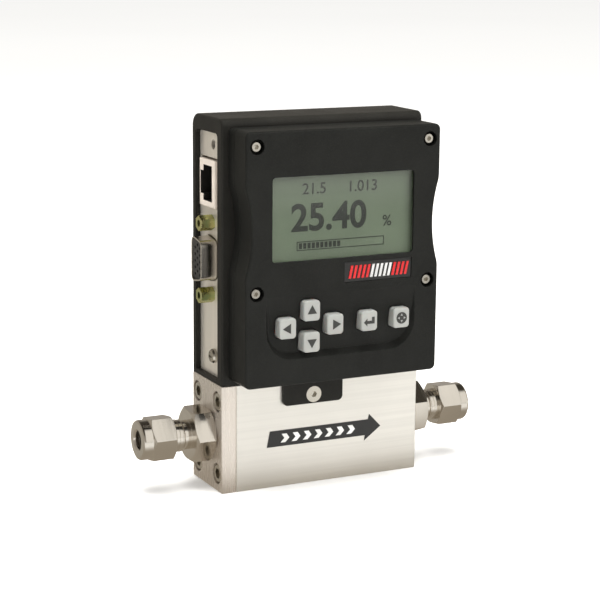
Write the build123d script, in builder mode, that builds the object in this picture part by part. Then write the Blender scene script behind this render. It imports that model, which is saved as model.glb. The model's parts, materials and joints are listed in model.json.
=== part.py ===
from build123d import *
import os

# Mass flow controller: flow block, tube fittings, sensor, valve, housing and display module.
# Frame: +X is the flow direction, +Y points to the back, +Z is up. The origin is the centre of
# the flow block's underside. All lengths are millimetres and all angles are degrees.

os.makedirs("parts", exist_ok=True)

# Clearances and cutting that the pieces share
thread_clearance = 0.1
hole_clearance = 0.3
element_clearance = 0.1
cut_past = 1.0
screw_hole_extra = 1.0
near = 0.001

# Flow block
block_length = 76.2
block_depth = 25.4
block_height = 38.1
inlet_block_thickness = 5.5
block_edge_break = 0.3
port_height = block_height / 2
chamber_diameter = 19.05
chamber_length = 32.6
chamber_cover = block_height - port_height - chamber_diameter / 2
chamber_floor = port_height - chamber_diameter / 2
chamber_screw_wall = 3.525
passage_diameter = 4.8
feed_passage_diameter = 3.2
feed_passage_rise = 7.35
spigot_length = 5.6
spigot_clearance = 0.1
spigot_groove_width = 1.6
spigot_groove_depth = 0.9
base_screw_spacing = 50.8
base_screw_diameter = 3.5
base_screw_wall = 2.525
base_screw_depth = chamber_floor - base_screw_wall

# Socket screws that hold the inlet block
block_screw_margin_y = 4.3
block_screw_margin_z = 6.25
block_screw_spacing_y = block_depth - 2 * block_screw_margin_y
block_screw_spacing_z = block_height - 2 * block_screw_margin_z
block_screw_diameter = 4.0
block_screw_head_diameter = 6.9
block_screw_head_height = 3.2
block_screw_length = 12.0
block_screw_socket = 3.4
counterbore_clearance = 0.4
counterbore_extra_depth = 0.3
screw_rim_share = 0.08
socket_depth_share = 0.6
flat_socket_depth_share = 0.8

# Flow splitter and screen in the chamber
element_length = 10.0
element_slots = 24
element_slot_width = 0.8
element_slot_depth = 1.8
screen_thickness = 0.6
screen_hole_diameter = 1.8
screen_inner_ring = 0.32
screen_inner_holes = 6
screen_outer_ring = 0.68
screen_outer_holes = 12

# Compression tube fittings
tube_bore = 6.5
port_thread_diameter = 14.29
port_thread_length = 10.0
port_thread_chamfer = 0.6
port_thread_runout = 2.0
port_seal_section = 1.8
port_seal_seat_diameter = 16.5
fitting_hex_size = 17.46
fitting_hex_length = 7.6
fitting_bore = 4.8
fitting_neck_diameter = 10.2
fitting_neck_length = 2.6
fitting_thread_diameter = 11.1
fitting_thread_length = 11.4
fitting_thread_chamfer = 0.4
tube_socket_depth = 8.0
hexagon_corner_round = 0.2
hexagon_flat_round = 0.1
hexagon_round_slope = 0.55
nut_size = 14.29
nut_gap = 6.3
nut_hex_length = 8.6
nut_collar_length = 3.5
nut_collar_diameter = 13.9
nut_collar_round = 0.8
nut_collar_shoulder = 0.25
nut_mouth_chamfer = 0.6
nut_end_wall = 1.9
nut_shoulder_share = 0.4
ferrule_wall = 1.6
ferrule_clearance = 0.05
ferrule_slope = 0.72
ferrule_rim = 0.6
ferrule_seat_depth = 1.6
back_ferrule_length = 1.1
back_ferrule_step = 0.15
back_ferrule_edge = 0.3
back_ferrule_nose = 0.75
inlet_hex_turn = -3.0
inlet_nut_turn = 7.0
outlet_hex_turn = 38.0
outlet_nut_turn = 54.0

# Flow sensor
sensor_x = -12.2
sensor_tap_spacing = 14.0
sensor_tap_diameter = 2.0
sensor_base_depth = 14.0
sensor_base_height = 6.0
sensor_base_corner = 1.0
sensor_tube_diameter = 1.6
sensor_tube_wall = 0.3
sensor_tube_rise = 12.0
sensor_tube_grip = 4.0
sensor_tube_bend = 3.0
sensor_winding_length = 3.0
sensor_winding_wall = 0.7
sensor_winding_spacing = 4.6
sensor_cover_wall = 1.0
sensor_cover_depth = 12.0
sensor_cover_height = 16.5
sensor_cover_gap = 0.7
sensor_cover_corner = 1.5
sensor_cover_edge = 0.8
sensor_seal_section = 0.9
sensor_screw_diameter = 3.0
sensor_screw_head_diameter = 5.4
sensor_screw_gap = 0.4
sensor_room = sensor_tap_spacing + sensor_tube_diameter + 2 * sensor_cover_gap
sensor_screw_spacing = (sensor_room + 2 * sensor_cover_wall + sensor_screw_head_diameter
                        + 2 * sensor_screw_gap)
sensor_base_end = 3.4
sensor_base_length = sensor_screw_spacing + 2 * sensor_base_end
sensor_screw_head_height = 2.4
sensor_screw_socket = 2.5
sensor_screw_length = sensor_base_height + chamber_cover - chamber_screw_wall

# Control valve
valve_x = 17.0
valve_cavity_diameter = 12.7
valve_cavity_depth = 5.3
valve_well_diameter = 10.5
valve_well_floor = 4.95
valve_well_depth = block_height - port_height - valve_well_floor
orifice_plug_diameter = 5.0
orifice_plug_length = 3.5
orifice_head_diameter = 7.0
orifice_head_height = 2.0
orifice_seat_height = 0.4
orifice_seat_foot = 1.4
orifice_seat_rim = 1.0
orifice_diameter = 1.0
plunger_diameter = 7.4
plunger_foot_step = 1.2
plunger_foot_height = 1.0
plunger_foot_cone = 0.6
plunger_chamfer = 0.4
plunger_length = 21.4
plunger_travel = 0.5
plunger_seat_gap = 0.2
plunger_side_gap = 0.3
plunger_top_gap = 0.6
valve_spring_thickness = 0.3
valve_spring_slots = 3
valve_spring_slot_angle = 80.0
valve_spring_slot_width = 0.5
valve_spring_slot_inset = 0.1
core_flange_length = 5.0
core_tube_wall = 0.7
core_seal_section = 0.9
core_groove_clearance = 0.2
yoke_plate = 2.0
yoke_strap = 1.4
yoke_width = 17.2
yoke_front = 8.6
yoke_back = 9.6
coil_height = 24.3
coil_diameter = 16.0
bobbin_wall = 0.65
bobbin_flange = 1.2
winding_diameter = 15.2
stud_diameter = 6.0
valve_nut_size = 10.0
valve_nut_height = 4.0
stud_length = 7.4
valve_screw_x = 6.2
valve_screw_y = 5.6
valve_screw_diameter = 2.5
valve_screw_head_diameter = 4.7
valve_screw_socket = 1.5
valve_screw_length = 7.0
core_top = yoke_plate + coil_height

# Electronics housing
overall_height = 129.3
cover_front_wall = 3.7
cover_rear_wall = 2.8
cover_top_wall = 5.2
cover_inner_radius = 1.5
cover_rear_radius = 4.5
cover_front_radius = 2.5
cover_end_radius = 0.7
end_recess = 1.8
sill_height = 1.4
tab_x = -3.9
tab_width = 23.0
tab_drop = 9.1
tab_bottom = block_height - tab_drop
tab_rise = 8.9
tab_top = block_height + tab_rise
tab_thickness = 1.2
tab_corner = 1.8
tab_screw_x = -3.6
tab_screw_drop = 5.9
tab_screw_z = block_height - tab_screw_drop
tab_screw_diameter = 3.0
tab_screw_head_diameter = 5.9
tab_screw_length = 7.0
tab_screw_socket = 2.0
cone_clearance = 0.5
end_plate_thickness = 1.5
end_plate_clearance = 0.15
bracket_thickness = 1.2
bracket_width = 8.0
bracket_above_screw = 4.4
bracket_foot = 6.2
plate_screw_y = -2.7
plate_screw_diameter = 2.5
plate_screw_head_diameter = 5.0
plate_screw_head_height = 1.9
plate_screw_length = 6.0
bracket_screw_setback = 3.5
bracket_screw_head_diameter = 4.4
bracket_screw_head_height = 1.5
bracket_screw_length = chamber_cover - chamber_screw_wall
pan_side_share = 0.45
pan_shoulder_share = 0.8
pan_shoulder_radius_share = 0.42
pan_crown_radius_share = 0.25
cross_length_share = 0.55
cross_width_share = 0.13
lamp_hole_y = -1.5
lamp_hole_diameter = 3.4

# Main circuit board and its connectors
board_thickness = 1.6
board_face_y = -4.55
board_valve_gap = 0.2
board_bottom = block_height + core_top + stud_length + board_valve_gap
board_top_gap = 2.1
board_end_gap = 0.7
board_guide_wall = 0.3
board_guide_depth = 2.6
board_guide_rib = 1.15
board_guide_clearance = 0.15
board_connector_gap = 0.3
jack_projection = 0.8
jack_depth = 16.0
jack_width = 13.05
jack_height = 16.2
jack_edge_radius = 0.3
jack_mouth_width = 7.45
jack_mouth_height = 12.3
jack_mouth_offset = 2.45
jack_latch_width = 2.45
jack_latch_height = 8.0
jack_mouth_depth = 12.5
jack_opening_gap = 0.2
jack_opening_top_gap = 0.9
contact_count = 8
contact_pitch = 1.02
contact_width = 0.45
contact_length = 8.5
contact_rise = 2.5
contact_setback = 1.5
contact_thickness = 0.4
data_y = -0.4
data_shell_length = 16.3
data_shell_width = 8.6
data_shell_slope = 0.176
data_shell_corner = 2.2
data_shell_wall = 0.5
data_shell_projection = 5.9
data_flange_length = 30.8
data_flange_width = 12.5
data_flange_thickness = 0.8
data_opening_gap = 0.4
data_face_recess = 0.5
data_pin_rows = 3
data_pin_columns = 5
data_pin_pitch_z = 2.3
data_pin_pitch_y = 2.0
data_pin_diameter = 1.1
data_pin_depth = 4.0
data_block_length = 7.0
data_block_height = 18.0
jackscrew_spacing = 24.99
jackscrew_size = 4.75
jackscrew_length = 5.0
jackscrew_stud_length = 5.0
jackscrew_stud_diameter = 2.8
jackscrew_bore = 2.4
jackscrew_bore_depth = 4.0
jackscrew_turn = 30.0

# Heights on the connector plate: the free height below and between its screw, data connector,
# network jack, lamp hole and top edge is dealt out in proportion to these gaps
screw_gap = 6.1
data_gap = 15.8
jack_gap = 2.2
lamp_gap = 3.8
plate_top_gap = 2.7
cavity_top = overall_height - cover_top_wall
plate_free_height = (cavity_top - block_height - plate_screw_head_diameter
                     - data_flange_length - jack_height - lamp_hole_diameter)
spread = plate_free_height / (screw_gap + data_gap + jack_gap + lamp_gap + plate_top_gap)
plate_screw_z = block_height + spread * screw_gap + plate_screw_head_diameter / 2
data_z = (plate_screw_z + plate_screw_head_diameter / 2 + spread * data_gap
          + data_flange_length / 2)
jack_z = data_z + data_flange_length / 2 + spread * jack_gap + jack_height / 2
lamp_hole_z = jack_z + jack_height / 2 + spread * lamp_gap + lamp_hole_diameter / 2
bracket_height = plate_screw_z - block_height + bracket_above_screw
board_top = cavity_top - board_top_gap

# Display module
module_x = 0.93
module_width = 73.1
module_lift = 1.83
module_bottom = block_height + module_lift
module_drop = 2.9
module_top = overall_height - module_drop
module_height = module_top - module_bottom
module_depth = 14.17
module_back_depth = 4.5
module_corner = 2.0
module_edge_radius = 0.8
waist_bottom_share = 0.441425
waist_bottom = module_bottom + waist_bottom_share * module_height
waist_top_share = 0.783740
waist_top = module_bottom + waist_top_share * module_height
waist_depth = 2.3
waist_blend = 9.0
module_wall = 2.4
bezel_front_wall = 2.5
module_rear_wall = 2.6
parting_groove = 0.25
post_diameter = 6.8
display_screw_spacing_x = 64.9
display_screw_below_waist = 5.8
display_screw_low = waist_bottom - display_screw_below_waist
display_screw_margin = 5.05
display_screw_high = module_top - display_screw_margin
display_screw_diameter = 2.0
display_screw_head_diameter = 3.6
display_screw_head_height = 2.0
display_screw_length = 11.0
display_screw_pocket = 5.2
display_screw_sink = 0.9
display_screw_socket = 1.5
display_screw_floor = 0.8
module_screw_spacing = 52.0
module_screw_rise = 17.07
module_screw_low = module_bottom + module_screw_rise
module_screw_margin = 12.4
module_screw_high = module_top - module_screw_margin
module_screw_diameter = 2.5
module_screw_head_diameter = 4.4
module_screw_head_height = 1.6
module_screw_grip = 3.6

# Display window and panel
window_x = 0.75
window_top_margin = 15.45
window_badge_gap = 1.75
window_width = 53.5
window_corner = 1.2
window_pane_corner = 0.5
window_rim = 1.0
window_lap = 1.5
window_thickness = 1.25
window_clearance = 0.15
panel_gap = 0.3
panel_margin = 2.2
panel_frame_depth = 0.5
panel_frame_lap = 0.6
display_board_thickness = 1.6
board_seat_height = 0.5
board_edge_gap = 0.4
header_width = 15.0
header_height = 4.0
header_z = (board_bottom + board_top) / 2

# Badge recess, left blank of any lettering
badge_x = 14.05
badge_scoop_gap = 2.7
badge_width = 25.9
badge_height = 7.0
badge_recess = 0.8
badge_thickness = 0.5

# Keypad
key_width = 6.2
key_height = 7.0
key_corner = 1.2
key_edge_radius = 0.6
key_projection = 2.0
key_travel = 0.8
key_hole_clearance = 0.3
key_flange_lap = 0.8
key_flange_thickness = 0.8
key_flange_gap = 0.3
keypad_x = -12.0
keypad_rise = 11.2
arrow_key_reach_x = 8.9
arrow_key_reach_z = 5.4
enter_key_x = 9.9
menu_key_x = 22.4
scoop_left = -28.1
scoop_right = 28.6
scoop_rise = 8.97
scoop_bottom = module_bottom + scoop_rise
scoop_height = 22.1
scoop_top = scoop_bottom + scoop_height
scoop_runout = 4.0
scoop_depth = 2.6
scoop_corner = 10.0
scoop_wall_slope = 38.0
pad_depth = 4.2
pad_margin = 2.5
mat_gap = 0.37
mat_margin_x = 0.5
mat_margin_z = 1.0
keypad_z = scoop_bottom + keypad_rise
badge_z = scoop_top + badge_scoop_gap + badge_height / 2
window_bottom = badge_z + badge_height / 2 + window_badge_gap
window_top = module_top - window_top_margin
window_height = window_top - window_bottom
window_z = (window_top + window_bottom) / 2

# Flow arrow label
arrow_x = 1.5
arrow_drop = 1.65
arrow_z = port_height - arrow_drop
arrow_length = 44.0
arrow_shaft_length = 38.5
arrow_shaft_height = 5.7
arrow_head_height = 9.5
arrow_slant = 0.2
arrow_thickness = 0.2

# Faces and planes that the pieces share
left = -block_length / 2
right = block_length / 2
front = -block_depth / 2
back = block_depth / 2
seam = left + inlet_block_thickness
cavity_front = front + cover_front_wall
cavity_back = back - cover_rear_wall
cavity_middle = (cavity_front + cavity_back) / 2
cavity_depth = cavity_back - cavity_front
end_plate_left = left + end_recess
end_plate_right = right - end_recess
module_front = front - module_depth
module_parting = front - module_back_depth
pad_face = module_front + pad_depth
key_flange_front = pad_face + key_flange_gap
key_face = module_front - key_projection
mat_front = key_flange_front + key_flange_thickness + key_travel + mat_gap
display_board_back = module_parting - board_seat_height
display_board_front = display_board_back - display_board_thickness
window_face = module_front + window_rim
panel_front = window_face + window_thickness + panel_gap

block_top = Plane.XY.offset(block_height)
front_face = Plane.XZ.offset(-front)
inlet_face = Plane(origin=(left, 0, port_height), x_dir=(0, 1, 0), z_dir=(-1, 0, 0))
outlet_face = Plane(origin=(right, 0, port_height), x_dir=(0, 1, 0), z_dir=(1, 0, 0))
seam_face = Plane(origin=(seam, 0, port_height), x_dir=(0, 1, 0), z_dir=(-1, 0, 0))
spigot_root = Plane(origin=(seam, 0, port_height), x_dir=(0, 1, 0), z_dir=(1, 0, 0))
valve_axis = Plane(origin=(valve_x, 0, block_height), x_dir=(1, 0, 0), z_dir=(0, 0, 1))
sensor_axis = Plane(origin=(sensor_x, 0, block_height), x_dir=(1, 0, 0), z_dir=(0, 0, 1))


def xz_plane(y):
    """A plane across the depth, with X to its right and Z up, that faces the front."""
    return Plane(origin=(0, y, 0), x_dir=(1, 0, 0), z_dir=(0, -1, 0))


def end_plane(x, outward):
    """A plane across the length at the height of the flow block's underside."""
    return Plane(origin=(x, 0, 0), x_dir=(0, 1, 0), z_dir=(outward, 0, 0))


def turn(plane, profile, mode=Mode.ADD):
    """Turn a half profile of (radius, height) points about the normal of a plane."""
    section = Plane(origin=plane.origin, x_dir=plane.x_dir, z_dir=-plane.y_dir)
    with BuildSketch(section) as half:
        with BuildLine():
            Polyline(*profile, close=True)
        make_face()
    revolve(half.sketch, axis=Axis(plane.origin, plane.z_dir), mode=mode)


def prism(plane, size, amount, turned=0.0, mode=Mode.ADD):
    """A hexagonal prism of the given size across its flats."""
    with BuildSketch(plane) as hexagon:
        RegularPolygon(size / 2, 6, major_radius=False, rotation=turned)
    extrude(hexagon.sketch, amount=amount, mode=mode)


def block(plane, centre, size, amount, mode=Mode.ADD):
    """A rectangular block on a plane, centred at a point of that plane."""
    with BuildSketch(plane) as base:
        with Locations(centre):
            Rectangle(*size)
    extrude(base.sketch, amount=amount, mode=mode)


def socket_screw(seat, head, head_height, socket, shank, length):
    """A socket head screw whose head stands on the seat plane."""
    rim = screw_rim_share * head
    turn(seat, [(0, -length), (shank / 2 - rim, -length), (shank / 2, -length + rim),
                (shank / 2, 0), (head / 2, 0), (head / 2, head_height - rim),
                (head / 2 - rim, head_height), (0, head_height)])
    prism(seat.offset(head_height), socket, -socket_depth_share * head_height,
          mode=Mode.SUBTRACT)


def flat_screw(face, head, shank, length, socket):
    """A flat head screw whose head ends at the face plane."""
    cone = (head - shank) / 2
    turn(face, [(0, 0), (head / 2, 0), (shank / 2, -cone), (shank / 2, -length), (0, -length)])
    prism(face, socket, -flat_socket_depth_share * cone, mode=Mode.SUBTRACT)


def flat_screw_hole(face, head, shank, depth):
    """The countersunk hole for a flat head screw, cut a little past the face."""
    cone = (head - shank) / 2
    turn(face, [(0, cut_past), (head / 2, cut_past), (head / 2, 0), (shank / 2, -cone),
                (shank / 2, -depth), (0, -depth)], Mode.SUBTRACT)


def pan_screw(seat, head, head_height, shank, length):
    """A pan head screw with a cross recess, whose head stands on the seat plane."""
    turn(seat, [(0, -length), (shank / 2, -length), (shank / 2, 0), (head / 2, 0),
                (head / 2, pan_side_share * head_height),
                (pan_shoulder_radius_share * head, pan_shoulder_share * head_height),
                (pan_crown_radius_share * head, head_height), (0, head_height)])
    top = seat.offset(head_height)
    arm, slot, deep = cross_length_share * head, cross_width_share * head, cross_length_share
    block(top, (0, 0), (arm, slot), -deep * head_height, Mode.SUBTRACT)
    block(top, (0, 0), (slot, arm), -deep * head_height, Mode.SUBTRACT)


def ring(plane, section, outer, mode=Mode.ADD):
    """An O-ring of round section, lying in a plane, by its outside diameter."""
    spread = Plane(origin=plane.origin, x_dir=plane.x_dir, z_dir=-plane.y_dir)
    with BuildSketch(spread) as cut:
        with Locations(((outer - section) / 2, 0)):
            Circle(section / 2)
    revolve(cut.sketch, axis=Axis(plane.origin, plane.z_dir), mode=mode)


def write(piece, name):
    """Name a finished piece and write it to its own file."""
    piece.label = name
    export_step(piece, f"parts/{name}.step")


# Flow block: chamber, sensor taps, valve cavity, outlet port and every threaded hole
with BuildPart() as flow_body:
    block(end_plane(seam, 1), (0, block_height / 2), (block_depth, block_height), right - seam)
    chamfer(flow_body.edges(), block_edge_break)
    with Locations(seam_face):
        Hole(chamber_diameter / 2, chamber_length)
        with GridLocations(block_screw_spacing_y, block_screw_spacing_z, 2, 2):
            Hole(block_screw_diameter / 2, block_screw_length)
    with Locations(seam_face * Location((0, -feed_passage_rise, 0))):
        Hole(feed_passage_diameter / 2, valve_x - seam)
    with Locations(outlet_face):
        CounterBoreHole(port_thread_diameter / 2, port_seal_seat_diameter / 2,
                        port_seal_section + hole_clearance,
                        port_thread_length + port_thread_runout)
        Hole(passage_diameter / 2, right - valve_x)
    with Locations(valve_axis):
        CounterBoreHole(valve_well_diameter / 2, valve_cavity_diameter / 2,
                        valve_cavity_depth, valve_well_depth)
        Hole(orifice_plug_diameter / 2, block_height - port_height)
        with Locations((-valve_screw_x, -valve_screw_y), (valve_screw_x, valve_screw_y)):
            Hole(valve_screw_diameter / 2, valve_screw_length)
    with Locations(sensor_axis):
        with GridLocations(sensor_tap_spacing, 0, 2, 1):
            Hole(sensor_tap_diameter / 2, block_height - port_height)
        with GridLocations(sensor_screw_spacing, 0, 2, 1):
            Hole(sensor_screw_diameter / 2,
                 sensor_screw_length - sensor_base_height + screw_hole_extra)
    bracket_screw_x = end_plate_right - end_plate_thickness - bracket_screw_setback
    with Locations(Plane(origin=(0, plate_screw_y, block_height))):
        with GridLocations(2 * bracket_screw_x, 0, 2, 1):
            Hole(plate_screw_diameter / 2, bracket_screw_length)
    with Locations(Plane(origin=(0, 0, 0), x_dir=(1, 0, 0), z_dir=(0, 0, -1))):
        with GridLocations(base_screw_spacing, 0, 2, 1):
            Hole(base_screw_diameter / 2, base_screw_depth)
    for side in (-1, 1):
        tab_face = Plane(origin=(tab_screw_x, side * (back + tab_thickness), tab_screw_z),
                         x_dir=(1, 0, 0), z_dir=(0, side, 0))
        flat_screw_hole(tab_face, tab_screw_head_diameter, tab_screw_diameter,
                        tab_screw_length + screw_hole_extra)
write(flow_body.part, "flow_body")

# Inlet block: an end plate with the inlet port, counterbores and a sealed spigot
spigot_radius = chamber_diameter / 2 - spigot_clearance
groove_radius = spigot_radius - spigot_groove_depth
groove_start = (spigot_length - spigot_groove_width) / 2
groove_end = groove_start + spigot_groove_width
counterbore_depth = block_screw_head_height + counterbore_extra_depth
with BuildPart() as inlet_block:
    block(end_plane(left, -1), (0, -block_height / 2), (block_depth, block_height),
          -inlet_block_thickness)
    chamfer(inlet_block.edges(), block_edge_break)
    turn(spigot_root, [(0, -cut_past), (spigot_radius, -cut_past),
                       (spigot_radius, groove_start),
                       (groove_radius, groove_start), (groove_radius, groove_end),
                       (spigot_radius, groove_end), (spigot_radius, spigot_length),
                       (0, spigot_length)])
    with Locations(inlet_face):
        CounterBoreHole(port_thread_diameter / 2, port_seal_seat_diameter / 2,
                        port_seal_section + hole_clearance)
        with GridLocations(block_screw_spacing_y, block_screw_spacing_z, 2, 2):
            CounterBoreHole((block_screw_diameter + hole_clearance) / 2,
                            (block_screw_head_diameter + counterbore_clearance) / 2,
                            counterbore_depth)
write(inlet_block.part, "inlet_block")

with BuildPart() as inlet_block_screws:
    for y in (-block_screw_spacing_y / 2, block_screw_spacing_y / 2):
        for z in (-block_screw_spacing_z / 2, block_screw_spacing_z / 2):
            seat = Plane(origin=(left + counterbore_depth, y, port_height + z),
                         x_dir=(0, 1, 0), z_dir=(-1, 0, 0))
            socket_screw(seat, block_screw_head_diameter, block_screw_head_height,
                         block_screw_socket, block_screw_diameter - thread_clearance,
                         block_screw_length)
write(inlet_block_screws.part, "inlet_block_screws")

with BuildPart() as inlet_block_seal:
    seal_section = spigot_groove_depth + spigot_clearance - element_clearance
    ring(spigot_root.offset(spigot_length / 2), seal_section,
         2 * groove_radius + 2 * seal_section + element_clearance)
write(inlet_block_seal.part, "inlet_block_seal")

# Screen against the spigot, and the slotted flow splitter between the sensor taps
with BuildPart() as inlet_screen:
    screen_face = spigot_root.offset(spigot_length)
    with BuildSketch(screen_face) as disc:
        Circle(spigot_radius)
        Circle(screen_hole_diameter / 2, mode=Mode.SUBTRACT)
        with PolarLocations(screen_inner_ring * chamber_diameter / 2, screen_inner_holes):
            Circle(screen_hole_diameter / 2, mode=Mode.SUBTRACT)
        with PolarLocations(screen_outer_ring * chamber_diameter / 2, screen_outer_holes):
            Circle(screen_hole_diameter / 2, mode=Mode.SUBTRACT)
    extrude(disc.sketch, amount=screen_thickness)
write(inlet_screen.part, "inlet_screen")

with BuildPart() as laminar_element:
    element_radius = chamber_diameter / 2 - element_clearance / 2
    element_face = end_plane(sensor_x - element_length / 2, 1)
    with BuildSketch(element_face) as wheel:
        with Locations((0, port_height)):
            Circle(element_radius)
            with PolarLocations(element_radius - element_slot_depth / 2, element_slots):
                Rectangle(element_slot_depth + 2 * element_clearance, element_slot_width,
                          mode=Mode.SUBTRACT)
    extrude(wheel.sketch, amount=element_length)
write(laminar_element.part, "laminar_element")

# Compression fittings: heights run outwards from the face of the block
nut_start = fitting_hex_length + nut_gap
nut_length = nut_hex_length + nut_collar_length
nut_end = nut_start + nut_length
fitting_end = fitting_hex_length + fitting_neck_length + fitting_thread_length
tube_radius = tube_bore / 2
shoulder = nut_end - nut_end_wall
ferrule_radius = tube_radius + ferrule_wall


def hexagon_limits(size, start, end):
    """The turned profile that rounds the corners of a hexagon at both its ends."""
    corner = size / 3 ** 0.5 + hexagon_corner_round
    flat = size / 2 - hexagon_flat_round
    drop = (corner - flat) * hexagon_round_slope
    return [(0, start), (flat, start), (corner, start + drop), (corner, end - drop),
            (flat, end), (0, end)]


def build_fitting_body(face, turned):
    """A port connector: sealed straight thread, hexagon, neck, thread and tube socket."""
    prism(face, fitting_hex_size, fitting_hex_length, turned)
    turn(face, hexagon_limits(fitting_hex_size, 0, fitting_hex_length), Mode.INTERSECT)
    thread = (port_thread_diameter - thread_clearance) / 2
    relief = port_seal_seat_diameter / 2 - port_seal_section - ferrule_clearance * 3
    undercut = port_seal_section + hole_clearance
    turn(face, [(0, -port_thread_length), (thread - port_thread_chamfer, -port_thread_length),
                (thread, port_thread_chamfer - port_thread_length), (thread, -undercut),
                (relief, -undercut), (relief, 0), (0, 0)])
    neck_end = fitting_hex_length + fitting_neck_length
    turn(face, [(0, fitting_hex_length), (fitting_neck_diameter / 2, fitting_hex_length),
                (fitting_neck_diameter / 2, neck_end),
                (fitting_thread_diameter / 2, neck_end + fitting_thread_chamfer),
                (fitting_thread_diameter / 2, fitting_end), (0, fitting_end)])
    mouth = tube_radius + ferrule_slope * ferrule_seat_depth
    start = -port_thread_length - cut_past
    turn(face, [(0, start), (fitting_bore / 2, start),
                (fitting_bore / 2, fitting_end - tube_socket_depth),
                (tube_radius, fitting_end - tube_socket_depth),
                (tube_radius, fitting_end - ferrule_seat_depth), (mouth, fitting_end),
                (mouth, fitting_end + cut_past), (0, fitting_end + cut_past)], Mode.SUBTRACT)


def build_nut(face, turned):
    """A compression nut: hexagon, turned collar, thread bore, shoulder and tube hole."""
    base = face.offset(nut_start)
    collar = nut_collar_diameter / 2
    prism(base, nut_size, nut_hex_length, turned)
    turn(base, hexagon_limits(nut_size, 0, nut_hex_length), Mode.INTERSECT)
    turn(base, [(0, nut_hex_length - cut_past), (collar, nut_hex_length - cut_past),
                (collar, nut_length - nut_collar_round),
                (collar - nut_collar_shoulder, nut_length - nut_collar_shoulder),
                (collar - nut_collar_round, nut_length), (0, nut_length)])
    thread = (fitting_thread_diameter + thread_clearance) / 2
    hollow = nut_length - nut_end_wall
    shoulder_radius = ferrule_radius - nut_shoulder_share * ferrule_wall
    mouth = tube_radius + nut_mouth_chamfer
    turn(base, [(0, -cut_past), (thread, -cut_past),
                (thread, hollow - thread + shoulder_radius), (shoulder_radius, hollow),
                (tube_radius, hollow), (tube_radius, nut_length - nut_mouth_chamfer),
                (mouth, nut_length), (mouth, nut_length + cut_past),
                (0, nut_length + cut_past)], Mode.SUBTRACT)


def build_front_ferrule(face):
    """The tapered ring that closes into the fitting body's mouth."""
    nose = fitting_end - ferrule_seat_depth + ferrule_clearance * 4
    tail = shoulder - back_ferrule_length - ferrule_clearance
    rim_start = tail - ferrule_rim
    rim = tube_radius + ferrule_clearance + ferrule_slope * (rim_start - nose)
    turn(face, [(tube_radius, nose), (tube_radius + ferrule_clearance, nose), (rim, rim_start),
                (rim, tail), (tube_radius, tail)])


def build_back_ferrule(face):
    """The short ring between the front ferrule and the nut's shoulder."""
    start = shoulder - back_ferrule_length
    outer = ferrule_radius - ferrule_clearance * 3 - back_ferrule_step
    turn(face, [(tube_radius, start), (outer, start), (outer, start + back_ferrule_edge),
                (outer + back_ferrule_step - back_ferrule_nose, shoulder - ferrule_clearance),
                (tube_radius, shoulder - ferrule_clearance)])


def build_port_seal(face):
    """The O-ring under the hexagon, in the port's counterbore."""
    ring(face.offset(-(port_seal_section + hole_clearance) / 2), port_seal_section,
         port_seal_seat_diameter - ferrule_clearance * 2)


with BuildPart() as inlet_fitting_body:
    build_fitting_body(inlet_face, inlet_hex_turn)
write(inlet_fitting_body.part, "inlet_fitting_body")

with BuildPart() as outlet_fitting_body:
    build_fitting_body(outlet_face, outlet_hex_turn)
write(outlet_fitting_body.part, "outlet_fitting_body")

with BuildPart() as inlet_nut:
    build_nut(inlet_face, inlet_nut_turn)
write(inlet_nut.part, "inlet_nut")

with BuildPart() as outlet_nut:
    build_nut(outlet_face, outlet_nut_turn)
write(outlet_nut.part, "outlet_nut")

with BuildPart() as front_ferrules:
    build_front_ferrule(inlet_face)
    build_front_ferrule(outlet_face)
write(front_ferrules.part, "front_ferrules")

with BuildPart() as back_ferrules:
    build_back_ferrule(inlet_face)
    build_back_ferrule(outlet_face)
write(back_ferrules.part, "back_ferrules")

with BuildPart() as port_seals:
    build_port_seal(inlet_face)
    build_port_seal(outlet_face)
write(port_seals.part, "port_seals")

# Flow arrow: a thin slanted label on the front of the block
with BuildPart() as flow_arrow:
    tail = -arrow_length / 2
    neck = tail + arrow_shaft_length
    half_shaft = arrow_shaft_height / 2
    half_head = arrow_head_height / 2
    outline = [(tail, -half_shaft), (neck, -half_shaft), (neck, -half_head),
               (arrow_length / 2, 0), (neck, half_head), (neck, half_shaft), (tail, half_shaft)]
    with BuildSketch(front_face) as label:
        with BuildLine():
            Polyline(*[(arrow_x + x + arrow_slant * z, arrow_z + z) for x, z in outline],
                     close=True)
        make_face()
    extrude(label.sketch, amount=arrow_thickness)
write(flow_arrow.part, "flow_arrow")

# Sensor: base with two passages, bent capillary, two windings and a cover
with BuildPart() as sensor_base:
    block(sensor_axis, (0, 0), (sensor_base_length, sensor_base_depth), sensor_base_height)
    chamfer(sensor_base.edges().filter_by(Axis.Z), sensor_base_corner)
    with Locations(sensor_axis.offset(sensor_base_height)):
        with GridLocations(sensor_tap_spacing, 0, 2, 1):
            Hole(sensor_tap_diameter / 2)
        with GridLocations(sensor_screw_spacing, 0, 2, 1):
            Hole((sensor_screw_diameter + hole_clearance) / 2)
    with Locations(Plane(origin=sensor_axis.origin, x_dir=(1, 0, 0), z_dir=(0, 0, -1))):
        with GridLocations(sensor_tap_spacing, 0, 2, 1):
            Hole(sensor_tap_diameter / 2 + sensor_seal_section + ferrule_clearance * 2,
                 sensor_seal_section)
write(sensor_base.part, "sensor_base")

with BuildPart() as sensor_seals:
    for side in (-1, 1):
        section = sensor_seal_section - ferrule_clearance
        seal_plane = Plane(origin=(sensor_x + side * sensor_tap_spacing / 2, 0,
                                   block_height + sensor_seal_section / 2))
        ring(seal_plane, section, sensor_tap_diameter + 2 * section + ferrule_clearance * 2)
write(sensor_seals.part, "sensor_seals")

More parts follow.
